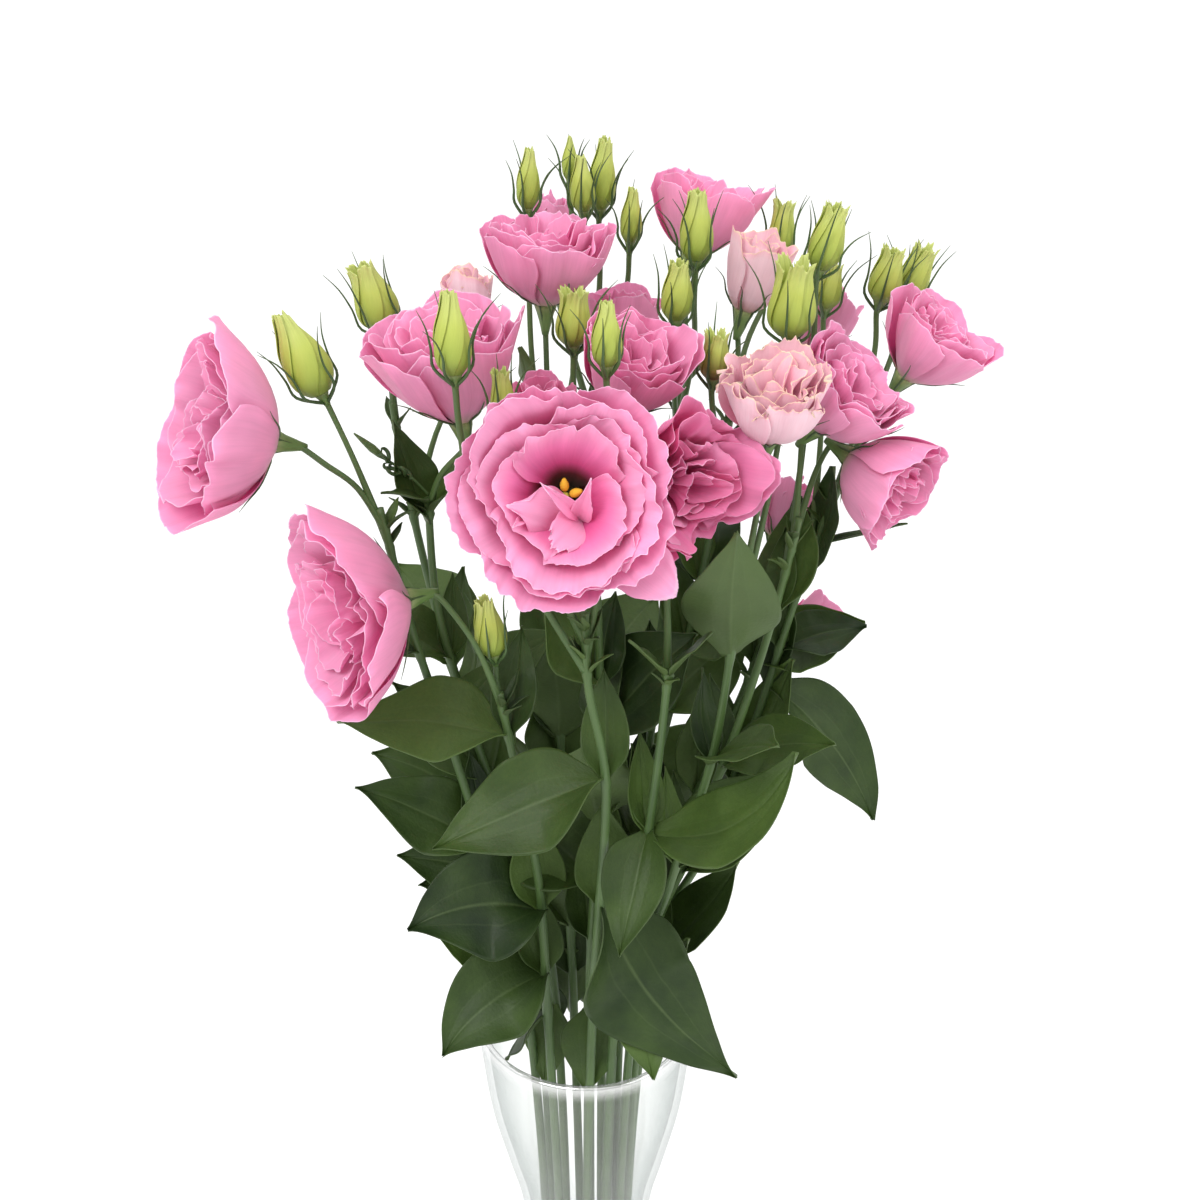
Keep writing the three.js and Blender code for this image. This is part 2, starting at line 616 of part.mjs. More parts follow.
function ringAt(place, radius, height, sides, turn) {
  const ring = [];
  for (let k = 0; k < sides; k += 1) {
    const a = 2 * Math.PI * k / sides + turn;
    ring.push(place(radius * Math.cos(a), radius * Math.sin(a), height));
  }
  return ring;
}

function bloom(flower) {
  const { place, depth } = placer(flower.base, flower.mouth);
  return joined(KINDS[flower.kind].map((whorl) => crown(place, flower, whorl, depth)));
}

// stamens and pistil in the middle of the open front flower
function pistil(flower) {
  const { place, depth } = placer(flower.base, flower.mouth);
  const foot = RUNS.low[0][1] * depth + GAP + 0.3;
  const parts = [skin([
    ringAt(place, 1.3, foot, 5, 0),
    ringAt(place, 1.3, foot + 4, 5, 0),
    ringAt(place, 0.6, foot + 8, 5, 0),
    ringAt(place, 1.5, foot + 10, 5, 0),
  ])];
  for (let i = 0; i < 5; i += 1) {
    const a = rad(72 * i + 20);
    const at = (r, z) => place(r * Math.cos(a), r * Math.sin(a), foot + z).toArray();
    parts.push(tube([at(0.7, 1), at(2.2, 9)], [0.4, 0.8], 1, 3));
  }
  return joined(parts);
}

// closed bud with three folded lobes that wind round it
function bud(flower) {
  const { place, depth } = placer(flower.base, flower.tip);
  const outline = [[0.28, 0], [0.5, 0.3], [0.37, 0.68], [0.15, 1]];
  const rings = outline.map(([wide, high], i) => (
    ringAt(place, wide * flower.width, high * depth, BUD_SIDES, rad(20 * i))
  ));
  return skin(rings);
}

// ---------- stems ----------
function mainPoints(spray) {
  const c = Math.cos(rad(spray.angle));
  const s = Math.sin(rad(spray.angle));
  const foot = spray.ring * FOOT_SPREAD;
  return [
    [foot * c, foot * s, VASE_FLOOR + GAP],
    [spray.ring * c, spray.ring * s, WAIST_HEIGHT],
    ...spray.main,
  ];
}

// point of the main stem at a height
function stemAt(points, height) {
  let low = 0;
  let high = 1;
  for (let i = 0; i < 40; i += 1) {
    const middle = (low + high) / 2;
    if (through(points, middle)[2] < height) low = middle;
    else high = middle;
  }
  return through(points, low);
}

function leaf(root, row) {
  const [, azimuth, riseRoot, riseTip, length, width, fold, twist] = row;
  const heading = new THREE.Vector3(Math.cos(rad(azimuth)), Math.sin(rad(azimuth)), 0);
  const level = new THREE.Vector3(-Math.sin(rad(azimuth)), Math.cos(rad(azimuth)), 0);
  const rise = (u) => rad(riseRoot + (riseTip - riseRoot) * u);
  const spine = (u) => {
    const spot = V(root).addScaledVector(heading, LEAF_SEAT);
    const steps = 8;
    for (let i = 0; i < steps; i += 1) {
      const a = rise(u * (i + 0.5) / steps);
      spot.addScaledVector(heading, Math.cos(a) * u * length / steps);
      spot.addScaledVector(UP, Math.sin(a) * u * length / steps);
    }
    return spot;
  };
  const outline = [[0.08], [0.66], [1.0], [0.88], [0.5], [0.05]];
  const surface = (u, v) => {
    const a = rise(u);
    const upward = heading.clone().multiplyScalar(-Math.sin(a)).addScaledVector(UP, Math.cos(a));
    const half = through(outline, u)[0] * width / 2;
    const lean = rad(twist) * Math.min(1, 2.5 * u);
    const bank = rad(fold) * Math.abs(v);
    const wave = 0.07 * width * Math.sin(2.2 * Math.PI * u + (v > 0 ? 1.2 : 0)) * Math.abs(v);
    const sideways = half * v * Math.cos(bank);
    const lifted = half * Math.abs(v) * Math.sin(bank) + wave;
    const spot = spine(u);
    spot.addScaledVector(level, sideways * Math.cos(lean) - lifted * Math.sin(lean));
    spot.addScaledVector(upward, sideways * Math.sin(lean) + lifted * Math.cos(lean));
    return spot;
  };
  return blade(surface, 2, length > LONG_LEAF ? 4 : 3, LEAF_THICKNESS, true);
}

// thin green tips of the calyx, drawn out of the faces of its cup and bent up round
// the flower above it; the bare faces and the smallest open flowers have none
function sepals(flower, cupRing) {
  const start = V(flower.base);
  const axis = V(flower.mouth || flower.tip).sub(start).normalize();
  const half = flower.width / 2;
  const bend = flower.width ? half + 1.6 : 0.22 * flower.radius + 4.5;
  const [tipOut, tipUp] = flower.width ? [half + 4, 20] : [0.45 * flower.radius + 6.5, 8];
  const bare = flower.bare || (flower.width ? [3] : [1, 3]);
  const horns = [];
  for (let k = 0; k < STALK_SIDES; k += 1) {
    if (bare.includes(k) || flower.radius < SEPAL_BLOOM_RADIUS) continue;
    const way = cupRing[k].clone().add(cupRing[(k + 1) % STALK_SIDES]).multiplyScalar(0.5).sub(start);
    way.addScaledVector(axis, -way.dot(axis)).normalize();
    const side = new THREE.Vector3().crossVectors(axis, way);
    const at = (out, across, up) => (
      start.clone().addScaledVector(way, out).addScaledVector(side, across).addScaledVector(axis, up)
    );
    horns[k] = [
      at(bend + SEPAL_HALF, -SEPAL_HALF, -1.7), at(bend + SEPAL_HALF, SEPAL_HALF, -1.7),
      at(bend - SEPAL_HALF, SEPAL_HALF, -0.4), at(bend - SEPAL_HALF, -SEPAL_HALF, -0.4),
      at(tipOut, 0, tipUp),
    ];
  }
  return horns;
}

function spraySolid(spray) {
  const points = mainPoints(spray);
  const radii = points.map((_, i) => (
    STEM_RADIUS + (STEM_TOP_RADIUS - STEM_RADIUS) * Math.max(0, i - 2) / (points.length - 3)
  ));
  const parts = [tube(points, radii, points.length - 1, STEM_SIDES)];
  for (const branch of spray.branches) {
    const flower = [...BLOOMS, ...BUDS].find((one) => one.name === branch.to);
    const { place } = placer(flower.base, flower.mouth || flower.tip);
    const cup = flower.width ? Math.min(2.6, flower.width * 0.24) : 2.9;
    const seat = place(0, 0, -GAP).toArray();
    const neck = place(0, 0, -GAP - CALYX_LENGTH).toArray();
    const path = [stemAt(points, branch.from), ...branch.via, neck, seat];
    const widths = path.map(() => STALK_RADIUS);
    widths[path.length - 1] = cup;
    const rings = tubeRings(path, widths, path.length - 1, STALK_SIDES);
    parts.push(skin(rings, sepals(flower, rings[rings.length - 1])));
  }
  for (const row of spray.leaves) {
    parts.push(leaf(stemAt(points, row[0]), row));
  }
  return joined(parts);
}

// ---------- vase and water ----------
function lathe(profile) {
  const geometry = new THREE.LatheGeometry(profile.map(([r, z]) => new THREE.Vector2(r, z)), VASE_SIDES);
  geometry.rotateX(Math.PI / 2);
  geometry.deleteAttribute('normal');
  geometry.deleteAttribute('uv');
  const merged = mergeVertices(geometry, 1e-4);
  const place = merged.getAttribute('position');
  const points = [];
  for (let i = 0; i < place.count; i += 1) points.push(new THREE.Vector3().fromBufferAttribute(place, i));
  const kept = [];
  const index = merged.getIndex().array;
  for (let i = 0; i < index.length; i += 3) {
    const [a, b, c] = [index[i], index[i + 1], index[i + 2]];
    if (a !== b && b !== c && a !== c) kept.push(a, b, c);
  }
  return toSolid(points, kept);
}

function outsideRadius(height) {
  let row = 1;
  while (row < VASE_OUTLINE.length - 1 && VASE_OUTLINE[row][0] < height) row += 1;
  const [z0, r0] = VASE_OUTLINE[row - 1];
  const [z1, r1] = VASE_OUTLINE[row];
  return r0 + (r1 - r0) * (height - z0) / (z1 - z0);
}

function vaseSolid() {
  const outside = VASE_OUTLINE.map(([z, r]) => [r, z]);
  const inside = VASE_OUTLINE.filter(([z]) => z > VASE_FLOOR).map(([z, r]) => [r - VASE_WALL, z]);
  inside.reverse();
  const floor = [outsideRadius(VASE_FLOOR) - VASE_WALL, VASE_FLOOR];
  return lathe([[0, 0], ...outside, ...inside, floor, [0, VASE_FLOOR]]);
}

function waterSolid() {
  const low = VASE_FLOOR + GAP;
  const inner = (z) => outsideRadius(z) - VASE_WALL - GAP;
  const heights = VASE_OUTLINE.map(([z]) => z).filter((z) => z > low && z < WATER_LEVEL);
  const wall = [low, ...heights, WATER_LEVEL].map((z) => [inner(z), z]);
  const body = lathe([[0, low], ...wall, [0, WATER_LEVEL]]);
  return body.subtract(joined(SPRAYS.map(stemHole)));
}

// room for a stem in the water, from below the floor to the waist
function stemHole(spray) {
  const [foot, waist] = mainPoints(spray);
  const below = foot.map((value, k) => value - 0.1 * (waist[k] - value));
  const width = STEM_RADIUS + GAP;
  return tube([below, waist], [width, width], 1, STEM_SIDES);
}

// ---------- the whole ----------
const part = new THREE.Group();
part.name = 'lisianthus_bouquet';
part.add(toMesh('vase', vaseSolid(), 0xdfeceb, 0.05, { transparent: true, opacity: 0.35 }));
part.add(toMesh('water', waterSolid(), 0xcfe3e2, 0.05, { transparent: true, opacity: 0.3 }));
for (const spray of SPRAYS) {
  part.add(toMesh(spray.name, spraySolid(spray), 0x55763f, 0.65));
}
for (const flower of BLOOMS) {
  part.add(toMesh(flower.name, bloom(flower), 0xf08cba, 0.6));
}
part.add(toMesh('pistil_front', pistil(BLOOMS[0]), 0xd9a12b, 0.6));
for (const flower of BUDS) {
  part.add(toMesh(flower.name, bud(flower), 0xb4c85a, 0.55));
}

export default part;
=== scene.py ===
"""A bouquet of pink lisianthus in a clear glass vase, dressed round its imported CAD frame.

Places and sizes are in millimetres, and meshes are made in metres. The driving dimensions and
the tables of blooms, buds and sprays repeat the CAD source.
"""

from math import cos, pi, radians, sin

import bpy
import numpy as np
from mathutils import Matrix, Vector


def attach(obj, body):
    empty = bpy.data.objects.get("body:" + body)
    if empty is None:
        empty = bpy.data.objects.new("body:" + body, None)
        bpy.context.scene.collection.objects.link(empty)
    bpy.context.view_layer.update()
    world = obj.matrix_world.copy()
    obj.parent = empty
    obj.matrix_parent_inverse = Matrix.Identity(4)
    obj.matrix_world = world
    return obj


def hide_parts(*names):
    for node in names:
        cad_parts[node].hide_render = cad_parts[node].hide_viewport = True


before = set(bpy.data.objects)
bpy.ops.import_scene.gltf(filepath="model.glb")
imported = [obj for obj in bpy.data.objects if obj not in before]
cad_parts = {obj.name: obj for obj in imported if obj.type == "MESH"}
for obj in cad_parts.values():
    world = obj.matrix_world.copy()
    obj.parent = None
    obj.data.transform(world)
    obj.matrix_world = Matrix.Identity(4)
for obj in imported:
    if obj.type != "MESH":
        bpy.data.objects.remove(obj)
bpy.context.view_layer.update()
draw = np.random.default_rng(7).uniform

# ---------- camera ----------
CAMERA_PLACE = (0.006, -0.545, 0.722)
CAMERA_DOWN = 27
camera = bpy.data.objects.new("camera", bpy.data.cameras.new("camera"))
camera.data.lens = 50
camera.data.sensor_width = 36
camera.location = CAMERA_PLACE
camera.rotation_euler = (radians(90 - CAMERA_DOWN), 0, 0)
bpy.context.scene.collection.objects.link(camera)
bpy.context.scene.camera = camera

# ---------- driving dimensions, as in the CAD source ----------
GAP = 0.3
VASE_WALL = 3
VASE_FLOOR = 12
WATER_LEVEL = 108
WAIST_HEIGHT = 120
OUTER_RING = 18.5
INNER_RING = 9
FOOT_SPREAD = 1.35
STEM_RADIUS = 2.3
STEM_TOP_RADIUS = 1.7
STALK_RADIUS = 1.05
CALYX_LENGTH = 5
# height and outside radius of the vase
VASE_OUTLINE = [
    (0, 40), (8, 40), (30, 37), (70, 30.8), (118, 26.8),
    (150, 28.8), (178, 35), (208, 41.2), (250, 45.5),
]

# name: base, middle of the mouth, mouth radius, kind, depth of its pink or None to draw it
BLOOMS = {
    "bloom_front": ((-5, -49, 507), (-5, -82, 521), 35.5, "rosette", 0.35),
    "bloom_front_right": ((22, -26, 504), (39, -51, 512), 23, "full", 0.75),
    "bloom_middle": ((11, -14, 524), (20, -25, 551), 19, "cup", 0.55),
    "bloom_half_open": ((-11, -22, 511), (-13, -28, 537), 11, "small", 0.7),
    "bloom_left_upper": ((-41, -8, 513), (-47, -11, 552), 27, "bell", 0.35),
    "bloom_top_left": ((-13, 20, 547), (-12, 20, 578), 23, "cup", 0.45),
    "bloom_back_middle": ((13, 37, 521), (16, 40, 549), 14, "small", None),
    "bloom_top_right": ((39, 62, 552), (47, 69, 580), 19.5, "cup", 0.55),
    "bloom_pale_back": ((57, 35, 540), (64, 35, 570), 12.5, "small", None),
    "bloom_back_right": ((86, 66, 513), (97, 74, 539), 11, "small", None),
    "bloom_pale_cup": ((62, -23, 515), (63, -33, 544), 18.5, "cup", 0.2),
    "bloom_right_upper": ((80, 1, 510), (96, -8, 533), 21.5, "cup", 0.3),
    "bloom_far_right": ((114, 26, 519), (129, 20, 544), 20.5, "cup", 0.5),
    "bloom_right_lower": ((92, 4, 501), (113, -14, 491), 19.5, "cup", 0.5),
    "bloom_far_left": ((-99, -28, 517), (-126, -41, 528), 31, "bell", 0.35),
    "bloom_left_low": ((-56, -42, 467), (-85, -61, 468), 35, "bell", 0.4),
    "bloom_low_right": ((83, 42, 408), (99, 52, 414), 10, "small", None),
    "bloom_hidden_right": ((73, 33, 452), (78, 40, 476), 11.5, "small", None),
    "bloom_pale_left": ((-43, 55, 526), (-43, 57, 552), 10, "small", None),
    "bloom_far_back": ((-12, 88, 545), (-13, 92, 571), 9, "small", None),
}
# name: base, tip, width, how far its tip has opened
BUDS = {
    "bud_far_left": ((-86, -25, 534), (-98, -25, 561), 15, 0.1),
    "bud_left_back": ((-71, 30, 539), (-79, 30, 562), 15, 0.6),
    "bud_left_tall": ((-39, -55, 551), (-40, -55, 578), 11.5, 0.2),
    "bud_left_small": ((-25, -39, 531), (-26, -39, 547), 8, 0.9),
    "bud_middle_back": ((-3, -5, 544), (-3, -5, 564), 12, 1.0),
    "bud_middle_front": ((8, -53, 553), (8, -53, 574), 9.5, 0.3),
    "bud_top_left": ((-20, 52, 576), (-19, 52, 598), 8.5, 0.2),
    "bud_top_tiny": ((-5, 70, 582), (-5, 70, 598), 6, 0.0),
    "bud_top_middle": ((0, 52, 575), (-1, 52, 595), 9, 0.2),
    "bud_top_right": ((6, 64, 573), (8, 64, 599), 10, 0.3),
    "bud_top_dark": ((17, 59, 562), (18, 59, 582), 8, 0.3),
    "bud_right_of_top": ((39, 20, 566), (39, 20, 591), 11.5, 0.4),
    "bud_right_low": ((32, 10, 548), (33, 10, 569), 11, 0.5),
    "bud_back_pale": ((73, 68, 556), (74, 69, 575), 10, 1.0),
    "bud_right_tall": ((82, 20, 563), (87, 20, 586), 12, 0.7),
    "bud_right_wide": ((70, -1, 546), (71, -1, 573), 16, 1.0),
    "bud_brown": ((44, -11, 534), (45, -11, 551), 10, 1.0),
    "bud_far_right": ((108, 45, 544), (112, 45, 564), 12, 0.7),
    "bud_far_right_back": ((119, 56, 541), (126, 56, 562), 12, 0.9),
    "bud_left_low": ((-31, -38, 443), (-34, -38, 465), 11, 0.5),
    "bud_behind_right": ((89, 50, 540), (91, 50, 557), 10, 0.8),
}

# name: ring, angle, points of the main stem above the waist,
#   branches (height where it leaves, points on its way, flower),
#   leaves (height, azimuth, rise at the root, rise at the tip, length, width, fold, twist)
SPRAYS = {
    "spray_far_left": (OUTER_RING, 192,
        [(-24, -12, 268), (-35, -16, 328), (-49, -20, 394), (-60, -22, 440), (-69, -25, 492)],
        [(484, [(-76, -26, 500), (-86, -27, 509)], "bloom_far_left"),
         (478, [(-76, -25, 508)], "bud_far_left")],
        [(280, 190, 55, 20, 48, 28, 15, -35), (346, 185, 50, 15, 56, 32, 15, -40),
         (400, 20, 60, 40, 36, 18, 15, 30), (434, 200, 30, -20, 36, 16, 15, -30)]),
    "spray_left": (OUTER_RING, 232,
        [(-15, -25, 272), (-17, -31, 338), (-23, -38, 386), (-29, -43, 430)],
        [(424, [(-36, -44, 448), (-46, -41, 463)], "bloom_left_low"),
         (420, [(-30, -40, 432)], "bud_left_low")],
        [(270, 174, -45, -70, 30, 20, 12, 0), (292, 212, 10, -55, 52, 38, 20, -35),
         (326, 200, 35, -25, 54, 44, 12, -50), (411, 178, 14, -8, 60, 34, 12, -30)]),
    "spray_left_inner": (INNER_RING, 185,
        [(-14, -1, 276), (-31, -2, 344), (-46, -2, 405), (-54, 0, 444), (-55, -2, 486)],
        [(480, [(-50, -6, 496)], "bloom_left_upper")],
        [(316, 176, 25, 0, 54, 34, 15, -45), (366, 160, 55, 30, 54, 30, 15, -30),
         (400, -10, 55, 35, 50, 30, 15, 40), (420, 180, 45, 15, 46, 24, 15, -30),
         (480, 30, 60, 40, 26, 12, 15, 0), (484, 230, 40, 15, 24, 11, 15, 0)]),
    "spray_left_back": (OUTER_RING, 150,
        [(-22, 14, 270), (-38, 23, 340), (-55, 31, 410), (-66, 34, 470), (-70, 31, 510)],
        [(500, [(-70, 30, 526)], "bud_left_back"),
         (462, [(-56, 45, 492), (-45, 53, 512)], "bloom_pale_left")],
        [(262, 268, -75, -86, 36, 25, 12, 0), (290, 205, 45, 20, 54, 42, 15, -50),
         (330, 170, 50, 10, 60, 44, 15, -35), (400, 120, 45, 5, 56, 42, 15, -30)]),
    "spray_front": (OUTER_RING, 268,
        [(3, -28, 272), (6, -42, 340), (8, -55, 401), (2, -56, 440), (1, -52, 466)],
        [(460, [(-3, -41, 488)], "bloom_front"),
         (450, [(7, -44, 486), (9, -48, 522)], "bud_middle_front"),
         (445, [(-16, -52, 474), (-34, -51, 503), (-38, -53, 530)], "bud_left_tall"),
         (455, [(-14, -42, 486), (-23, -40, 510)], "bud_left_small")],
        [(338, -20, -72, -28, 88, 46, 16, 72), (402, 190, -12, -30, 64, 36, 15, -45)]),
    "spray_middle": (INNER_RING, 270,
        [(2, -13, 280), (5, -18, 350), (6, -20, 420), (4, -18, 480)],
        [(474, [(6, -12, 502)], "bloom_middle"),
         (468, [(-4, -19, 492)], "bloom_half_open"),
         (472, [(-1, -8, 505), (-3, -5, 528)], "bud_middle_back")],
        [(300, 371, 70, 55, 58, 42, 15, 55), (330, 164, 55, 30, 58, 44, 15, -55),
         (360, 260, 70, 60, 52, 40, 15, 0), (400, 350, 60, 45, 56, 40, 15, 50),
         (420, 180, 65, 60, 48, 36, 15, -30)]),
    "spray_front_right": (OUTER_RING, 294,
        [(12, -25, 272), (21, -38, 346), (26, -48, 399), (29, -56, 446)],
        [(440, [(28, -44, 474), (21, -24, 496)], "bloom_front_right")],
        [(294, -68, -5, -75, 44, 26, 15, 0), (370, -26, 10, 78, 78, 32, 12, 40),
         (372, 250, -30, -70, 46, 25, 20, 0), (444, -20, 60, 45, 24, 11, 15, 0),
         (444, 205, 55, 45, 22, 10, 15, 0)]),
    "spray_top_left": (INNER_RING, 110,
        [(-6, 12, 275), (-9, 20, 350), (-12, 26, 430), (-13, 28, 496)],
        [(488, [(-13, 24, 520)], "bloom_top_left"),
         (476, [(-19, 44, 520), (-20, 52, 556)], "bud_top_left"),
         (470, [(-4, 44, 516), (0, 51, 552)], "bud_top_middle")],
        [(286, 262, 74, 66, 58, 44, 12, 0), (320, 134, 60, 40, 56, 38, 15, 20),
         (372, 262, 74, 66, 58, 44, 12, 0), (440, 350, 55, 40, 52, 40, 15, 40)]),
    "spray_back": (OUTER_RING, 85,
        [(2, 22, 272), (3, 34, 340), (4, 46, 420), (4, 55, 490), (4, 60, 520)],
        [(500, [(12, 44, 508)], "bloom_back_middle"),
         (512, [(-3, 68, 555)], "bud_top_tiny"),
         (514, [(6, 64, 548)], "bud_top_right"),
         (508, [(15, 60, 540)], "bud_top_dark"),
         (490, [(-8, 78, 525)], "bloom_far_back")],
        [(228, 95, -80, -88, 36, 24, 12, 0), (268, 95, -75, -88, 44, 32, 12, 0),
         (270, 100, 55, 20, 48, 28, 15, 0), (310, 95, 40, -10, 60, 44, 15, 0),
         (380, 60, 45, 0, 58, 42, 15, 25)]),
    "spray_top_right": (OUTER_RING, 45,
        [(16, 16, 272), (24, 28, 340), (31, 40, 420), (36, 50, 490), (37, 54, 516)],
        [(508, [(38, 60, 532)], "bloom_top_right"),
         (496, [(40, 36, 528), (39, 23, 550)], "bud_right_of_top"),
         (486, [(33, 28, 514), (32, 13, 534)], "bud_right_low")],
        [(330, 40, 45, 0, 58, 42, 15, 30), (376, 16, 50, 30, 54, 40, 15, 40)]),
    "spray_pale": (INNER_RING, 45,
        [(9, 12, 278), (24, 21, 340), (40, 29, 410), (50, 33, 470), (54, 35, 508)],
        [(500, [(56, 35, 524)], "bloom_pale_back"),
         (490, [(60, 50, 524), (71, 66, 542)], "bud_back_pale"),
         (470, [(66, 52, 490), (80, 62, 503)], "bloom_back_right"),
         (476, [(49, 12, 500), (45, -8, 518)], "bud_brown")],
        [(300, -10, 65, 45, 58, 44, 15, 45), (326, 215, 74, 66, 58, 44, 12, 0),
         (410, -30, 50, 30, 54, 40, 15, 45), (436, 76, 50, 20, 52, 36, 15, -20)]),
    "spray_right_front": (OUTER_RING, 320,
        [(20, -21, 274), (33, -32, 342), (46, -41, 402), (52, -46, 462)],
        [(455, [(59, -28, 490)], "bloom_pale_cup"),
         (450, [(63, -22, 492), (70, -2, 526)], "bud_right_wide")],
        [(264, -25, 60, 68, 54, 26, 15, 40), (350, 10, 50, 35, 54, 30, 15, 40),
         (400, -60, 50, 20, 48, 26, 15, 20), (446, 266, 70, 80, 54, 34, 10, 0)]),
    "spray_right": (OUTER_RING, 346,
        [(24, -7, 274), (41, -10, 340), (58, -12, 400), (69, -12, 446), (76, -10, 482)],
        [(474, [(76, -4, 495)], "bloom_right_upper"),
         (470, [(82, 3, 492)], "bloom_right_lower"),
         (462, [(78, 6, 502), (81, 18, 536)], "bud_right_tall")],
        [(284, -11, 45, 70, 64, 28, 15, 35), (330, -8, 45, 60, 60, 30, 15, 35),
         (380, -30, 45, 10, 50, 28, 15, 35), (446, 60, 60, 70, 42, 24, 15, 0)]),
    "spray_far_right": (OUTER_RING, 12,
        [(28, 6, 272), (48, 10, 325), (67, 13, 386), (80, 16, 437), (94, 20, 482)],
        [(474, [(103, 25, 502)], "bloom_far_right"),
         (466, [(101, 32, 500), (107, 43, 524)], "bud_far_right"),
         (460, [(106, 42, 500), (116, 54, 522)], "bud_far_right_back"),
         (452, [(88, 34, 492), (89, 48, 520)], "bud_behind_right")],
        [(358, -6, 68, 74, 60, 34, 12, 25), (400, -12, -28, -78, 72, 33, 12, 45),
         (416, 10, 25, -5, 34, 24, 10, 25), (440, -5, 72, 85, 52, 30, 15, 20),
         (458, 0, 25, 5, 34, 6, 10, 0)]),
    "spray_low_right": (INNER_RING, 350,
        [(15, 2, 276), (36, 10, 330), (56, 21, 375), (68, 29, 406), (72, 31, 430)],
        [(396, [(74, 36, 404)], "bloom_low_right"),
         (424, [(72, 31, 440)], "bloom_hidden_right")],
        [(290, -65, 50, 30, 38, 28, 15, 45), (350, 44, 30, -30, 56, 40, 15, 35),
         (402, -8, 40, 10, 46, 34, 15, 30)]),
}

# small leaves besides the ones above, in the same terms
SMALL_LEAVES = {
    "spray_left_inner": [(476, 172, 72, 78, 40, 20, 20, -30), (257, 250, -58, -80, 36, 21, 12, 0)],
    "spray_top_left": [(494, 200, 78, 74, 40, 22, 15, 10), (262, 95, 74, 80, 40, 27, 15, 10),
                       (272, 100, -72, -86, 40, 27, 12, 0), (356, 120, 72, 80, 40, 27, 15, 0),
                       (404, 130, 62, 74, 40, 27, 15, 0)],
    "spray_top_right": [(508, 250, 80, 76, 34, 16, 15, 0)],
    "spray_middle": [(470, 60, 78, 70, 38, 22, 15, 0), (264, 262, -66, -84, 38, 24, 12, 0)],
}

# tiny curled side buds that have stayed small: from the stem to the tip
SIDE_BUDS = {"spray_left_inner": ((-54.5, -2, 487), (-79, -6, 512))}

# how each kind of flower is filled, whorl by whorl: petals, size against the flower, run,
# turn, radius of the ring that its petals rise from, cells along and across a petal
KINDS = {
    "rosette": [
        (5, 1.0, "flared", 32, 6.4, 20, 120),
        (5, 0.88, "open", 64, 5.8, 18, 110),
        (3, 0.78, "inner", 20, 5.0, 20, 130),
        (3, 0.62, "upright", 75, 3.7, 20, 110),
    ],
    "full": [
        (5, 1.0, "flared", 0, 4.6, 16, 76),
        (4, 0.84, "open", 20, 4.0, 14, 80),
        (4, 0.66, "inner", 66, 3.2, 14, 66),
        (4, 0.48, "crowded", 12, 2.6, 14, 52),
        (3, 0.3, "upright", 0, 2.0, 12, 44),
    ],
    "bell": [
        (5, 1.0, "bell", 0, 3.4, 18, 84),
        (4, 0.84, "second", 24, 3.0, 16, 84),
        (4, 0.66, "middle", 36, 2.0, 16, 72),
        (4, 0.48, "crowded", 8, 1.6, 14, 56),
        (3, 0.3, "crowded", 40, 1.2, 12, 44),
    ],
    "cup": [
        (5, 1.0, "bell", 0, 3.4, 16, 64),
        (4, 0.84, "second", 24, 2.9, 14, 64),
        (4, 0.66, "middle", 36, 2.0, 14, 56),
        (4, 0.47, "crowded", 8, 1.6, 12, 44),
        (3, 0.28, "crowded", 50, 1.2, 12, 36),
    ],
    "small": [
        (4, 1.0, "bell", 0, 3.2, 14, 44),
        (4, 0.74, "second", 40, 2.4, 12, 36),
        (3, 0.46, "middle", 10, 1.6, 12, 32),
    ],
}

# how strongly each kind is crumpled inside, its petals are ruffled and its outer lips notched
LOOSE = {
    "rosette": (0.4, 0.7, 1.0),
    "full": (1.3, 2.2, 0.8),
    "bell": (1.1, 0.75, 0.35),
    "cup": (1.2, 1.1, 0.6),
    "small": (0.8, 1.0, 0.7),
}

# where petals reach further than the rest: (turn round the flower in degrees, extra share),
# with a share below 0 where they reach less far
LOBES = {
    "bloom_front_right": [(256, 0.42), (34, 0.28), (140, 0.3), (304, -0.15)],
    "bloom_left_low": [(208, 0.1), (30, 0.2)],
    "bloom_far_left": [(26, 0.12), (200, 0.14)],
    "bloom_left_upper": [(180, 0.1), (350, 0.14)],
    "bloom_right_lower": [(310, 0.1), (120, 0.1)],
    "bloom_top_right": [(0, 0.15), (190, 0.05), (105, 0.2), (50, 0.14), (270, -0.12)],
    "bloom_far_right": [(340, 0.05)],
    "bloom_right_upper": [(150, 0.12)],
    "bloom_middle": [(20, 0.15), (200, 0.1)],
    "bloom_front": [(118, 0.05), (330, 0.04)],
}

# flowers that open like a cone, with the power of the way out; the rest are rounder
CONES = {
    "bloom_left_low": 1.4, "bloom_left_upper": 1.45, "bloom_far_right": 1.35,
    "bloom_top_right": 1.35, "bloom_right_upper": 1.2,
}

# flowers whose outer lips are notched more than their kind's
TORN_LIPS = {"bloom_pale_cup": 1.6}

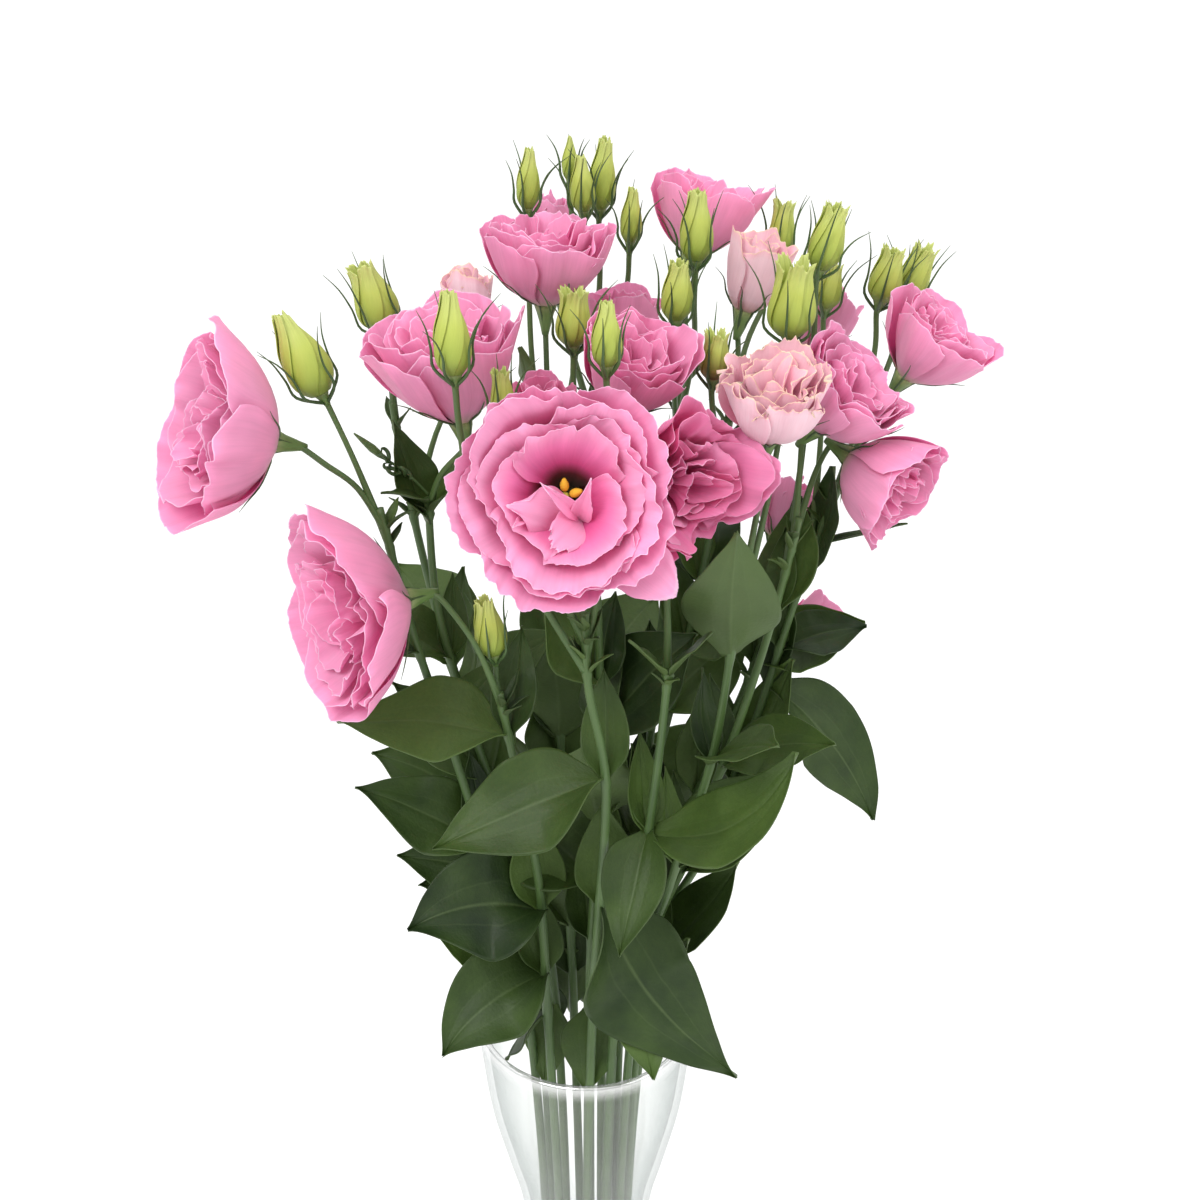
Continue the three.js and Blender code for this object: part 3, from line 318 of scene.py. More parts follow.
# run of a petal from root to lip: (part of the way out, part of the depth)
RUNS = {
    "flared": [(0, 0.11), (0.3, 0.25), (0.6, 0.5), (0.82, 0.8), (1, 0.96)],
    "open": [(0, 0.12), (0.25, 0.28), (0.55, 0.56), (0.8, 0.86), (1, 1.0)],
    "bell": [(0, 0.11), (0.42, 0.26), (0.73, 0.5), (0.9, 0.77), (1, 1)],
    "second": [(0, 0.13), (0.38, 0.28), (0.7, 0.52), (0.88, 0.78), (1, 1.0)],
    "inner": [(0, 0.14), (0.2, 0.32), (0.5, 0.62), (0.78, 0.9), (1, 1.04)],
    "upright": [(0, 0.17), (0.1, 0.34), (0.36, 0.6), (0.74, 0.86), (1, 1.04)],
    "middle": [(0, 0.15), (0.2, 0.32), (0.56, 0.55), (0.82, 0.8), (1, 1.04)],
    "crowded": [(0, 0.17), (0.16, 0.34), (0.5, 0.56), (0.8, 0.8), (1, 1.02)],
}

# small petals in the throat of the front flower, in its own frame: root, tip (x to the right,
# y up the flower, z out of it), width, fold in degrees (below 0 it stands as a ridge), bluntness
# and how far its end is torn; the last one hangs out behind the flower
PETALOIDS = [
    ((4, -7, 13), (-20, -2, 31), 18, -22, 0.2, 0.5),
    ((6, -7, 15), (-9, 6, 34), 7, 40, 0.4, 0.8),
    ((6, -6, 15), (-6, -18, 31), 13, 18, 0.8, 1.6),
    ((4, -9, 13), (9, 8, 32), 8, 30, 0.25, 0.5),
    ((-13, -7, 25), (-16.5, -10, 33), 3.6, 35, 0.4, 0.3),
    ((8, -8, 9), (36, -32, 23), 22, -10, 0.62, 0.25),
]


# ---------- mesh helpers ----------
class Shape:
    """Points, faces and looks of one piece, in millimetres."""

    def __init__(self):
        self.points, self.faces, self.look, self.side = [], [], [], []
        self.count = 0

    def add(self, points, faces, look, side):
        """look is (along, across, tone) at each point; side is 0 on the face, 1 on the back."""
        self.points.append(points)
        self.look.append(look)
        self.side.append(side)
        self.faces.append(faces + self.count)
        self.count += len(points)

    def build(self, name, material, nodes):
        """The piece as an object that rides on the body and stands for its CAD nodes.

        A face whose last two corners are one point is a triangle.
        """
        points = np.concatenate(self.points) * 0.001
        faces = np.concatenate(self.faces)
        keep = np.ones(faces.shape, bool)
        keep[:, 3] = faces[:, 3] != faces[:, 2]
        corners = keep.sum(1)
        mesh = bpy.data.meshes.new(name)
        mesh.vertices.add(len(points))
        mesh.vertices.foreach_set("co", points.ravel().astype(np.float32))
        mesh.loops.add(int(corners.sum()))
        mesh.loops.foreach_set("vertex_index", faces[keep].astype(np.int32))
        mesh.polygons.add(len(faces))
        starts = np.cumsum(corners) - corners
        mesh.polygons.foreach_set("loop_start", starts.astype(np.int32))
        mesh.polygons.foreach_set("use_smooth", np.ones(len(faces), bool))
        mesh.update(calc_edges=True)
        mesh.validate()
        for label, kind, field, values in (("look", "FLOAT_VECTOR", "vector", self.look),
                                           ("side", "FLOAT", "value", self.side)):
            layer = mesh.attributes.new(label, kind, "POINT")
            layer.data.foreach_set(field, np.concatenate(values).ravel().astype(np.float32))
        mesh.materials.append(material)
        piece = bpy.data.objects.new(name, mesh)
        bpy.context.scene.collection.objects.link(piece)
        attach(piece, "root")
        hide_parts(*nodes)


def through(points, t):
    """Smooth curve through points of any dimension, at each t from 0 to 1."""
    p = np.asarray(points, float)
    last = len(p) - 1
    at = np.clip(np.asarray(t, float), 0, 1) * last
    i = np.minimum(at.astype(int), last - 1)
    f = (at - i)[..., None]
    p0 = p[np.maximum(i - 1, 0)]
    p1 = p[i]
    p2 = p[i + 1]
    p3 = p[np.minimum(i + 2, last)]
    b = (p2 - p0) * f
    c = (2 * p0 - 5 * p1 + 4 * p2 - p3) * f ** 2
    d = (3 * p1 - p0 - 3 * p2 + p3) * f ** 3
    return 0.5 * (2 * p1 + b + c + d)


def curve(values, t):
    """Smooth run through single numbers, at each t from 0 to 1."""
    return through(np.asarray(values)[:, None], t)[..., 0]


def taper(values, steps):
    """Smooth run of radii, one for each of the steps + 1 rings of a tube."""
    return curve(values, np.linspace(0, 1, steps + 1))


def unit(vectors):
    return vectors / np.maximum(np.linalg.norm(vectors, axis=-1, keepdims=True), 1e-9)


def apart(angle, other):
    """Difference of two angles in degrees, between -180 and 180."""
    return (angle - other + 180) % 360 - 180


def placer(base, mouth):
    """Places points given in a flower's own frame, whose z runs from its base to its mouth."""
    start = np.array(base, float)
    axis = np.array(mouth, float) - start
    turn = np.array(Vector((0, 0, 1)).rotation_difference(Vector(axis)).to_matrix())
    return lambda spots: np.asarray(spots, float) @ turn.T + start, float(np.linalg.norm(axis))


def lattice(along, columns):
    """(along, across) of a grid of points, with across from -1 to 1."""
    return np.meshgrid(along, np.linspace(-1, 1, columns), indexing="ij")


def grid_faces(rows, columns, closed=False):
    """Quads of a grid of points; a closed grid joins its last column to its first."""
    i = np.arange(rows - 1)[:, None]
    j = np.arange(columns if closed else columns - 1)[None, :]
    k = (j + 1) % columns
    quad = [i * columns + j, i * columns + k, (i + 1) * columns + k, (i + 1) * columns + j]
    return np.stack([np.broadcast_to(q, (rows - 1, j.shape[1])).ravel() for q in quad], 1)


def blade(shape, grid, along, thickness, tone):
    """A thin closed blade round a grid of points, whose rows lie at the places along it."""
    rows, columns = grid.shape[:2]
    normal = unit(np.cross(np.gradient(grid, axis=0), np.gradient(grid, axis=1)))
    half = normal * np.asarray(thickness, float).reshape(-1, 1, 1) / 2
    points = np.concatenate([(grid + half).reshape(-1, 3), (grid - half).reshape(-1, 3)])
    face = grid_faces(rows, columns)
    shift = rows * columns
    index = np.arange(shift).reshape(rows, columns)
    rim = np.concatenate([index[0, :-1], index[:-1, -1], index[-1, :0:-1], index[:0:-1, 0]])
    ahead = np.roll(rim, -1)
    edge = np.stack([rim, rim + shift, ahead + shift, ahead], 1)
    faces = np.concatenate([face, face[:, ::-1] + shift, edge])
    u, v = lattice(along, columns)
    look = np.stack([u.ravel(), v.ravel(), np.full(shift, tone)], 1)
    side = np.concatenate([np.zeros(shift), np.ones(shift)])
    shape.add(points, faces, np.concatenate([look, look]), side)


def ring_skin(shape, rings, tone):
    """A closed skin over rings of points, with a fan at each end."""
    rings = np.asarray(rings, float)
    rows, sides = rings.shape[:2]
    face = grid_faces(rows, sides, closed=True)
    ends = np.stack([rings[0].mean(0), rings[-1].mean(0)])
    points = np.concatenate([rings.reshape(-1, 3), ends])
    k = np.arange(sides)
    n = (k + 1) % sides
    low = np.full(sides, rows * sides)
    top = (rows - 1) * sides
    foot = np.stack([n, k, low, low], 1)
    head = np.stack([top + k, top + n, low + 1, low + 1], 1)
    u = np.concatenate([np.repeat(np.linspace(0, 1, rows), sides), [0, 1]])
    v = np.concatenate([np.tile(np.linspace(-1, 1, sides), rows), [0, 0]])
    look = np.stack([u, v, np.full(len(u), tone)], 1)
    shape.add(points, np.concatenate([face, foot, head]), look, np.zeros(len(u)))


def spun(out, angle, rise):
    """Points of a grid from their distances to an axis, their angles round it and heights."""
    return np.stack([out * np.cos(angle), out * np.sin(angle), rise], -1)


def polar(out, angle, rise):
    return out * cos(angle), out * sin(angle), rise


def turned(shape, place, outline, sides, tone):
    """A closed solid of revolution in a flower's frame, from (radius, height) pairs."""
    a = np.linspace(0, 2 * pi, sides, endpoint=False)
    ring_skin(shape, [place(spun(r, a, 0 * a + z)) for r, z in outline], tone)


def tube(shape, points, radii, sides, tone):
    """A round stalk through the points, with a radius at each of its rings."""
    t = np.linspace(0, 1, len(radii))
    ahead, behind = np.minimum(t + 0.001, 1), np.maximum(t - 0.001, 0)
    along = unit(through(points, ahead) - through(points, behind))
    side = np.array([1.0, 0, 0])
    a = np.linspace(0, 2 * pi, sides, endpoint=False)[:, None]
    rings = []
    for centre, way, radius in zip(through(points, t), along, radii):
        side = unit(side - way * side.dot(way))
        other = np.cross(way, side)
        rings.append(centre + radius * (np.cos(a) * side + np.sin(a) * other))
    ring_skin(shape, rings, tone)


def uneven_places(knots):
    """Places from -1 to 1, at least four of them, with uneven spaces."""
    count = max(4, int(knots))
    places = np.linspace(-1, 1, count)
    places[1:-1] += draw(-0.7, 0.7, count - 2) / (count - 1)
    return places, count


def ups_and_downs(v, knots, sharp=False):
    """Uneven waves across a blade, between -1 and 1, that turn at so many uneven knots."""
    places, count = uneven_places(knots)
    heights = draw(0.15, 1, count) ** 1.4 * np.where(np.arange(count) % 2, 1, -1)
    if sharp:
        return np.interp(v, places, heights)
    return curve(heights, np.interp(v, places, np.linspace(0, 1, count)))


def scallops(v, knots):
    """The outline of a lip: arcs that hang between sharp points of uneven height and spacing."""
    places, count = uneven_places(knots)
    at = np.interp(v, places, np.arange(count))
    part = at - np.floor(at)
    sag = draw(0.4, 1.2, count + 1)[at.astype(int)]
    return np.interp(v, places, draw(-0.2, 1, count)) - 4 * sag * part * (1 - part)


def round_wave(angle, phase):
    """An uneven wave round a flower, between about -1 and 1, at angles in degrees."""
    a = np.radians(angle)
    return (0.45 * np.sin(2 * a + phase[0]) + 0.4 * np.sin(3 * a + phase[1])
            + 0.35 * np.sin(5 * a + phase[2]) + 0.25 * np.sin(9 * a + phase[3]))


# ---------- flowers ----------
FRONT_RADIUS = BLOOMS["bloom_front"][2]
LAP = 0.068  # how far an edge of a petal stands outside its neighbour, against the radius
OUTER = 0.8  # whorls wider than this have the lobes and the torn lips
LOBE_WIDTH = 32  # in degrees
CUP_SIDES = 24
PISTIL_FOOT, PISTIL_LIFT = 0.2, 0.3  # against the depth of the flower, and in millimetres
CALYX = BROWN = 2.0  # tones of a calyx and of a bud with a brown root

# width in millimetres of each kind of unevenness along a lip
CURL, WAVE, FOLD, NOTCH, NICK = 3.6, 5, 11, 7, 2.1


def crumple(spots, radius, depth, strength, phase):
    """Shifts the petals of a flower together by smooth waves, most in its middle and mouth."""
    x, y, z = np.moveaxis(spots, -1, 0) / radius
    middle = np.clip(1.1 - x * x - y * y, 0, 1)
    weight = strength * np.clip(z * radius / depth, 0, 1) ** 1.5 * middle
    across = 0.11 * np.sin(5.0 * y + phase[0]) + 0.03 * np.sin(13 * y + phase[1])
    upward = 0.11 * np.sin(5.4 * x + phase[2]) + 0.03 * np.sin(12 * x + phase[3])
    lift = 0.07 * np.sin(5 * x + 3 * y + phase[4]) + 0.05 * np.sin(6 * y - 4 * x + phase[5])
    return spots + np.stack([across * weight, upward * weight, lift * weight], -1) * radius


def petal(whorl, index, hand, radius, depth, phase, ruffled, notched, lobes, cone):
    """Grid of one petal in the flower's frame, one edge outside and one inside its neighbours."""
    petals, wide, run, turn, root, rows, columns = whorl
    along = 1 - (1 - np.linspace(0, 1, rows + 1)) ** 1.5
    u, v = lattice(along, columns + 1)
    # each petal is wider than its step round the flower, so that they overlap
    step = 360 / petals
    half = step * (0.68 if petals > 3 else 0.62)
    mouth = radius * wide * draw(0.92, 1.03)
    arc = 2 * mouth * radians(half)
    fine = 0.4 + 0.6 * radius / FRONT_RADIUS
    curls = ups_and_downs(v, arc / CURL, sharp=True)
    waves = ups_and_downs(v, arc / WAVE)
    folds = ups_and_downs(v, 3 + arc / FOLD)
    bend = ups_and_downs(v, 4)
    coarse = 1.2 * (1 - scallops(v, 3 + arc / NOTCH))
    notch = notched * fine * (coarse + 0.5 * (1 - scallops(v, arc / NICK)))
    corner = 0.19 * np.abs(v) ** 2.6
    length = radius + 6
    path = through(RUNS[run], u * (1 - corner * u) * (1 - notch / length * u ** 7))
    share = np.maximum(path[..., 0], 0) ** cone

    narrow = 0.78 if wide == 1.0 else 0.45
    spread = narrow + (1 - narrow) * np.minimum(1, u / 0.7)
    spread = spread * (1 - 0.12 * u ** 4)
    angle = turn + step * index + draw(-7, 7) + v * half * spread + 2.5 * bend * u ** 2
    lap = max(1.5, mouth * LAP)
    out = root + share * (mouth - root) + hand * lap * v * np.minimum(1, 2.5 * u)
    longer = sum(extra * np.exp(-(apart(angle, lobe) / LOBE_WIDTH) ** 2) for lobe, extra in lobes)
    uneven = 0.07 * round_wave(angle, phase) + draw(-0.09, 0.03)
    out = out + path[..., 0] * mouth * longer * u
    rise = path[..., 1] * depth * (1 + (uneven + longer) * u)

    way = unit(np.stack([np.gradient(out, axis=0), np.gradient(rise, axis=0)], -1))
    shared = round_wave(2 * angle + 60 * wide, phase[2:])
    push = ruffled * mouth * (0.05 * shared + 0.05 * folds) * u ** 2
    push = push + 0.02 * mouth * bend * np.sin(pi * u)
    push = push + fine * (1.0 * waves * u ** 5 + 1.7 * notched * curls * u ** 9)
    angle = np.radians(angle)
    out = out - way[..., 1] * push
    rise = rise + way[..., 0] * push
    return spun(out, angle, rise), along


def petaloid(root, tip, width, fold, blunt, torn):
    """Grid of a small petal folded along its middle, in the flower's frame."""
    rows, columns = 24, 36
    along = np.linspace(0, 1, rows + 1)
    u, v = lattice(along, columns + 1)
    root = np.array(root, float)
    way = np.array(tip, float) - root
    long = np.linalg.norm(way)
    level = unit(np.cross(way, (0, 0, 1)))
    over = unit(np.cross(level, way))
    nicks = scallops(v, 6 + width / 2)
    reach = u * (1 - (0.28 - 0.2 * blunt) * np.abs(v) ** 1.5 * u)
    reach = reach * (1 - torn / long * (1 - nicks) * u ** 6)
    half = width / 2 * curve([0.3, 0.75, 1.0, 0.9, 0.2 + 0.7 * blunt], u)
    half = half * (1 + 0.06 * ups_and_downs(2 * u - 1, 7))
    lean = radians(fold)
    arch = 0.2 * long * np.sin(pi * 0.8 * reach)
    ruffle = 0.05 * width * ups_and_downs(v, 6) * u ** 2
    ruffle = ruffle + 0.5 * ups_and_downs(v, 9, sharp=True) * u ** 6
    spine = root + way * reach[..., None] + over * (arch + ruffle)[..., None]
    sideways = half * v * cos(lean)
    lifted = half * (np.sqrt(v * v + 0.03) - 0.17) * sin(lean)
    return spine + level * sideways[..., None] + over * lifted[..., None], along


def bloom(name, material):
    """A flower of whorls of petals, thick at the root and thin at the lip, in a closed cup."""
    base, mouth, radius, kind, flower_tone = BLOOMS[name]
    place, depth = placer(base, mouth)
    shape = Shape()
    phase = draw(0, 2 * pi, 6)
    drawn_tone = draw(0.3, 0.7)
    flower_tone = flower_tone or drawn_tone
    crumpled, ruffled, notched = LOOSE[kind]
    notched = TORN_LIPS.get(name, notched)
    hand = 1
    for whorl in KINDS[kind]:
        outer = whorl[1] > OUTER
        for index in range(whorl[0]):
            grid, along = petal(whorl, index, hand, radius, depth, phase, ruffled,
                                notched if outer else 1.0, LOBES.get(name, []) if outer else [],
                                CONES.get(name, 1.0))
            grid = crumple(grid, radius, depth, crumpled, phase)
            # on the front flower's upright inner petals the dark throat colour, partly painted
            # shade, reaches further up
            shown = along ** 2.0 if kind == "rosette" and whorl[2] == "upright" else along
            tone = flower_tone + draw(-0.15, 0.15)
            blade(shape, place(grid), shown, 0.6 - 0.44 * along ** 0.6, tone)
        hand = -hand
    if kind == "rosette":
        for row in PETALOIDS:
            grid, along = petaloid(*row)
            blade(shape, place(grid), 0.45 + 0.55 * along, 0.5 - 0.3 * along, 0.5)
    root = KINDS[kind][0][4]
    cup = [(2.6, 0), (0.75 * root, 0.05), (root, 0.1), (root + 0.1, 0.14), (root * 0.7, 0.18)]
    turned(shape, place, [(r, z * depth) for r, z in cup], CUP_SIDES, flower_tone)
    # the cup is coloured as the root of a petal: its outside, but for the last ring
    shape.look[-1][:, 0] = 0.0
    shape.side[-1][:(len(cup) - 1) * CUP_SIDES] = 1.0
    shape.side[-1][-2] = 1.0
    shape.build(name + "_petals", material, [name])


def pistil(material):
    """The pistil of the front flower, with its stamens bent out round it."""
    base, mouth = BLOOMS["bloom_front"][:2]
    place, depth = placer(base, mouth)
    foot = PISTIL_FOOT * depth + GAP + PISTIL_LIFT
    shape = Shape()
    outline = [(1.3, 0), (1.5, 2.5), (1.2, 4.5), (0.6, 6.5), (0.6, 8), (1.5, 9.6), (1.2, 10.4)]
    turned(shape, place, [(r, foot + z) for r, z in outline], 16, 0.2)
    path = [(0.7, 1), (1.6, 5), (2.2, 8.2), (3.2, 10.6), (5.6, 12.6)]
    for i in range(5):
        turn = radians(72 * i + 20)
        spots = place([polar(r, turn, foot + z) for r, z in path])
        tube(shape, spots, taper([0.3, 0.3, 0.35, 0.5, 1.3, 1.4, 0.5], 20), 10, 0.8)
    shape.build("pistil_front_stamens", material, ["pistil_front"])


def bud(name, material):
    """A closed flower: five petals wound round each other over a smooth core."""
    base, tip, width, opening = BUDS[name]
    place, depth = placer(base, tip)
    shape = Shape()
    tone = BROWN if name == "bud_brown" else draw(0, 1)
    rows, columns = 28, 24
    outline = [(0.27, 0.0), (0.46, 0.14), (0.5, 0.32), (0.43, 0.54),
               (0.24 + 0.13 * opening, 0.78), (0.1 + 0.36 * opening, 1.0)]
    along = np.linspace(0, 1, rows + 1)
    u, v = lattice(along, columns + 1)
    for i in range(5):
        teeth = ups_and_downs(v, 8)
        nicks = scallops(v, 8)
        reach = u * (1 - (0.04 + 0.06 * opening) * np.abs(v) ** 1.5 * u)
        reach = reach * (1 - 0.05 * draw() * u)
        path = through(outline, reach * (1 - 0.035 * opening * (1 - nicks) * u ** 6))
        lip = (0.015 + 0.06 * opening) * width * teeth * u ** 5
        out = path[..., 0] * width - 0.35 + 0.04 * width * v * np.minimum(1, 3 * u) + lip
        narrowing = 1 - (0.25 + 0.2 * opening) * u
        angle = np.radians(72 * i + 58 * v * narrowing + (115 - 60 * opening) * u)
        high = path[..., 1] * depth + 0.8 * lip
        blade(shape, place(spun(out, angle, high)), along, 0.5 - 0.3 * along, tone)
    core = [(max(0.3, wide * width - 0.08 * width - 0.5), high * depth)
            for wide, high in through(outline, np.linspace(0, 0.95 - 0.3 * opening, 12))]
    turned(shape, place, core, 20, tone)
    shape.build(name + "_petals", material, [name])


# ---------- stems and leaves ----------
BIG_LEAF = 30  # leaves longer than this have the finer mesh
STEM_SHARE = 0.8  # radius of a stem against the CAD source's
SWELLING = 0.45  # how much a stem thickens where leaves and branches leave it
SEPAL_WALL = (0.0, 0.1, 0.25, 0.4)  # places along a petal where the sepals of a bloom pass
PARTNER_LENGTH = 40
PARTNER_FROM = 22, 262  # a leaf wider and higher than this has a partner behind the stem
BRACT_CLEAR = 20, 75  # height and degrees within which bracts turn away from a leaf


def main_points(ring, angle, above):
    """Foot, waist and further points of a main stem."""
    foot = polar(ring * FOOT_SPREAD, radians(angle), VASE_FLOOR + GAP)
    return [foot, polar(ring, radians(angle), WAIST_HEIGHT), *above]


def stem_at(points, height):
    """Part of the way along the main stem at a height."""
    low, high = 0.0, 1.0
    for _ in range(40):
        middle = (low + high) / 2
        if through(points, middle)[2] < height:
            low = middle
        else:
            high = middle
    return low


def leaf(shape, stem, row):
    """A pointed leaf with a grooved midrib, long curved veins and a waved edge."""
    height, azimuth, rise_root, rise_tip, length, width, fold, twist = row
    root = through(stem, stem_at(stem, height))
    big = length > BIG_LEAF
    rows, columns = (40, 28) if big else (18, 10)
    az = radians(azimuth)
    heading = np.array([cos(az), sin(az), 0])
    level = np.array([-sin(az), cos(az), 0])
    up = np.array([0, 0, 1.0])
    t = np.linspace(0, 1, rows + 1)
    middle = (t[:-1] + t[1:]) / 2
    curl = draw(-16, 16)
    rise = rise_root + (rise_tip - rise_root) * middle + curl * np.maximum(0, middle - 0.6)
    rise = np.radians(rise)[:, None]
    steps = (heading * np.cos(rise) + up * np.sin(rise)) * length / rows
    spine = root + heading + np.concatenate([[np.zeros(3)], np.cumsum(steps, 0)])
    sway = draw(-0.045, 0.045) * length * np.sin(pi * t) ** 2
    spine = spine + level * sway[:, None]
    a = np.radians(rise_root + (rise_tip - rise_root) * t)[:, None]
    upward = -heading * np.sin(a) + up * np.cos(a)

    v = np.linspace(-1, 1, columns + 1)[None, :]
    u = t[:, None]
    half = curve([0.2, 0.85, 1.0, 0.82, 0.44, 0.02], u) * width / 2
    lean = radians(twist) * np.minimum(1, 2.5 * u)
    bank = radians(fold) * np.abs(v)
    wave = 0.07 * width * np.sin(2.2 * pi * u + np.where(v > 0, 1.2, 0)) * np.abs(v)
    left = ups_and_downs(2 * u - 1, 6)
    right = ups_and_downs(2 * u - 1, 7)
    edge = 0.035 * width * np.where(v > 0, left, right) * v ** 2 * np.sin(pi * u)
    groove = np.exp(-(v / 0.07) ** 2) * 0.55 + 0.12 * np.exp(-((np.abs(v) - 0.36) / 0.06) ** 2)
    depth = (1 if big else 0.3) * np.sin(pi * np.clip(u * 0.97, 0, 1)) ** 0.5
    dimple = 0.2 * np.sin(2.1 * length * u / 8 + draw(0, 6))
    dimple = dimple * np.sin(5 * v + draw(0, 6))
    sideways = half * v * np.cos(bank)
    lifted = half * np.abs(v) * np.sin(bank) + wave + edge - groove * depth + dimple * depth
    out = (sideways * np.cos(lean) - lifted * np.sin(lean))[..., None] * level
    over = (sideways * np.sin(lean) + lifted * np.cos(lean))[..., None] * upward[:, None, :]
    blade(shape, spine[:, None, :] + out + over, t, 0.55 - 0.25 * t, draw(0.15, 1))


def bloom_sepal_run(radius, depth, cone, long):
    """Path of a sepal that lies along the outer petals and leaves them at its tip."""
    root = KINDS["bell"][0][4]
    run = [(0.8, -6)]
    for u, (way, high) in zip(SEPAL_WALL, through(RUNS["bell"], SEPAL_WALL)):
        out = root + 0.5 + max(0, way) ** cone * (radius - root) + LAP * radius * min(1, 2.5 * u)
        run.append((out, high * depth))
    return run + [(run[-1][0] + 2.5 + 2 * long, run[-1][1] + 3 * long)]


def sepals(shape, place, is_bud, size, depth, cone):
    """Five thin curved tips of the calyx: spread round a bud, or laid along a bloom."""
    for i in range(5):
        a = radians(72 * i + 36 + draw(-9, 9))
        long = draw(0.85, 1.2)
        if is_bud:
            far = draw(0.2, 1.7)
            long = long * (0.45 + 0.045 * size)
            run = [(0.8, -4), (size / 2 + 0.5, 1.5), (size / 2 + 0.9, 8 * long),
                   (size / 2 + 1 + 2 * far, 15 * long), (size / 2 + 2 + 5 * far, 21 * long)]
        else:
            run = bloom_sepal_run(size, depth, cone, long)
        bend = draw(-0.2, 0.2)
        spots = [polar(r, a + bend * k / 2, z) for k, (r, z) in enumerate(run)]
        tube(shape, place(spots), taper([0.6, 0.52, 0.4, 0.26, 0.08], 16), 6, 0.0)


def side_bud(shape, start, tip):
    """A tiny green bud on a thin stalk, with curled bracts round it."""
    place, depth = placer(start, tip)
    stalk = place([(0, 0, 0), (0.8, 0.5, 0.3 * depth), (0, 0, 0.62 * depth)])
    tube(shape, stalk, [0.5] * 13, 8, 0.3)
    swelling = [(0.4, 0.58), (1.2, 0.66), (1.5, 0.76), (1.0, 0.88), (0.3, 1.0)]
    turned(shape, place, [(r, z * depth) for r, z in swelling], 12, 1.0)
    curl = [(0.3, 0), (2.4, 1.5), (4.6, 4), (5.0, 7), (3.4, 8.4), (2.0, 7.2)]
    for i in range(7):
        a = radians(51 * i + draw(-15, 15))
        root = draw(0.2, 0.55) * depth
        far = draw(0.45, 0.8)
        spots = [polar(far * r, a + 0.12 * r, root + far * z) for r, z in curl]
        tube(shape, place(spots), taper([0.6, 0.75, 0.7, 0.5, 0.15], 20), 6, 0.0)


def branch(stems, start, via, flower):
    """A side stalk from the main stem to a flower or bud, with its calyx and sepals."""
    is_bud = flower in BUDS
    base, mouth, size = (BUDS if is_bud else BLOOMS)[flower][:3]
    place, depth = placer(base, mouth)
    neck = place([(0, 0, -GAP - CALYX_LENGTH)])[0]
    path = [start, *via, neck, place([(0, 0, -GAP - 1)])[0]]
    widths = [STALK_RADIUS + 0.5] + [STALK_RADIUS] * (len(path) - 2) + [1.5]
    tube(stems, path, taper(widths, 6 * (len(path) - 1)), 10, draw(0.4, 0.8))
    if is_bud:
        cup = min(2.6, size * 0.24)
        outline = [(1.1, -5), (1.4, -3.6), (0.75 * cup, -2), (cup, -0.6), (cup + 0.3, 0.6),
                   (cup, 1.2)]
    else:
        root = KINDS[BLOOMS[flower][3]][0][4]
        brim = 0.13 * depth
        outline = [(1.2, -8), (1.7, -5.5), (2.3, -3), (0.7 * root + 0.5, -0.3),
                   (root + 0.35, 0.5 * brim), (root + 0.75, brim), (root + 0.2, brim + 0.2),
                   (root - 0.3, 0.5 * brim)]
    turned(stems, place, outline, 18, CALYX)
    sepals(stems, place, is_bud, size, depth, CONES.get(flower, 1.0))


def spray(name, green_stem, green_leaf):
    """One leafy stem: its stalks as one piece and its leaves as another."""
    ring, angle, above, branches, leaves = SPRAYS[name]
    points = main_points(ring, angle, above)
    stems = Shape()
    foliage = Shape()
    steps = 14 * (len(points) - 1)
    t = np.linspace(0, 1, steps + 1)
    bare = (t * (len(points) - 1) - 2) / (len(points) - 3)
    radii = STEM_RADIUS + (STEM_TOP_RADIUS - STEM_RADIUS) * np.clip(bare, 0, 1)
    radii = radii * STEM_SHARE
    for row in leaves + branches:
        radii = radii + SWELLING * np.exp(-((t - stem_at(points, row[0])) * steps / 0.5) ** 2)
    tube(stems, points, np.minimum(radii, STEM_RADIUS + 0.4), 14, draw(0.3, 0.6))
    for height, via, flower in branches:
        branch(stems, through(points, stem_at(points, height)), via, flower)
        for turn in (draw(0, 360), draw(0, 360)):
            for near, azimuth in (row[:2] for row in leaves):
                close = 0 <= height - near < BRACT_CLEAR[0]
                if close and abs(apart(turn, azimuth)) < BRACT_CLEAR[1]:
                    turn = azimuth + 180
            leaf(foliage, points, (height, turn, 62, draw(10, 70), draw(8, 14), draw(2.5, 4.5),
                                   25, 0))
    for row in leaves:
        leaf(foliage, points, row)
        height, _, _, _, length, width = row[:6]
        if width > PARTNER_FROM[0] and height > PARTNER_FROM[1]:
            leaf(foliage, points, (height, 90 + draw(-40, 40), draw(66, 76), draw(72, 86),
                                   min(PARTNER_LENGTH, 0.72 * length), 0.5 * width, 15,
                                   draw(-20, 20)))
    for row in SMALL_LEAVES.get(name, []):
        leaf(foliage, points, row)
    if name in SIDE_BUDS:
        side_bud(stems, *SIDE_BUDS[name])
    stems.build(name + "_stems", green_stem, [name])
    foliage.build(name + "_leaves", green_leaf, [name])


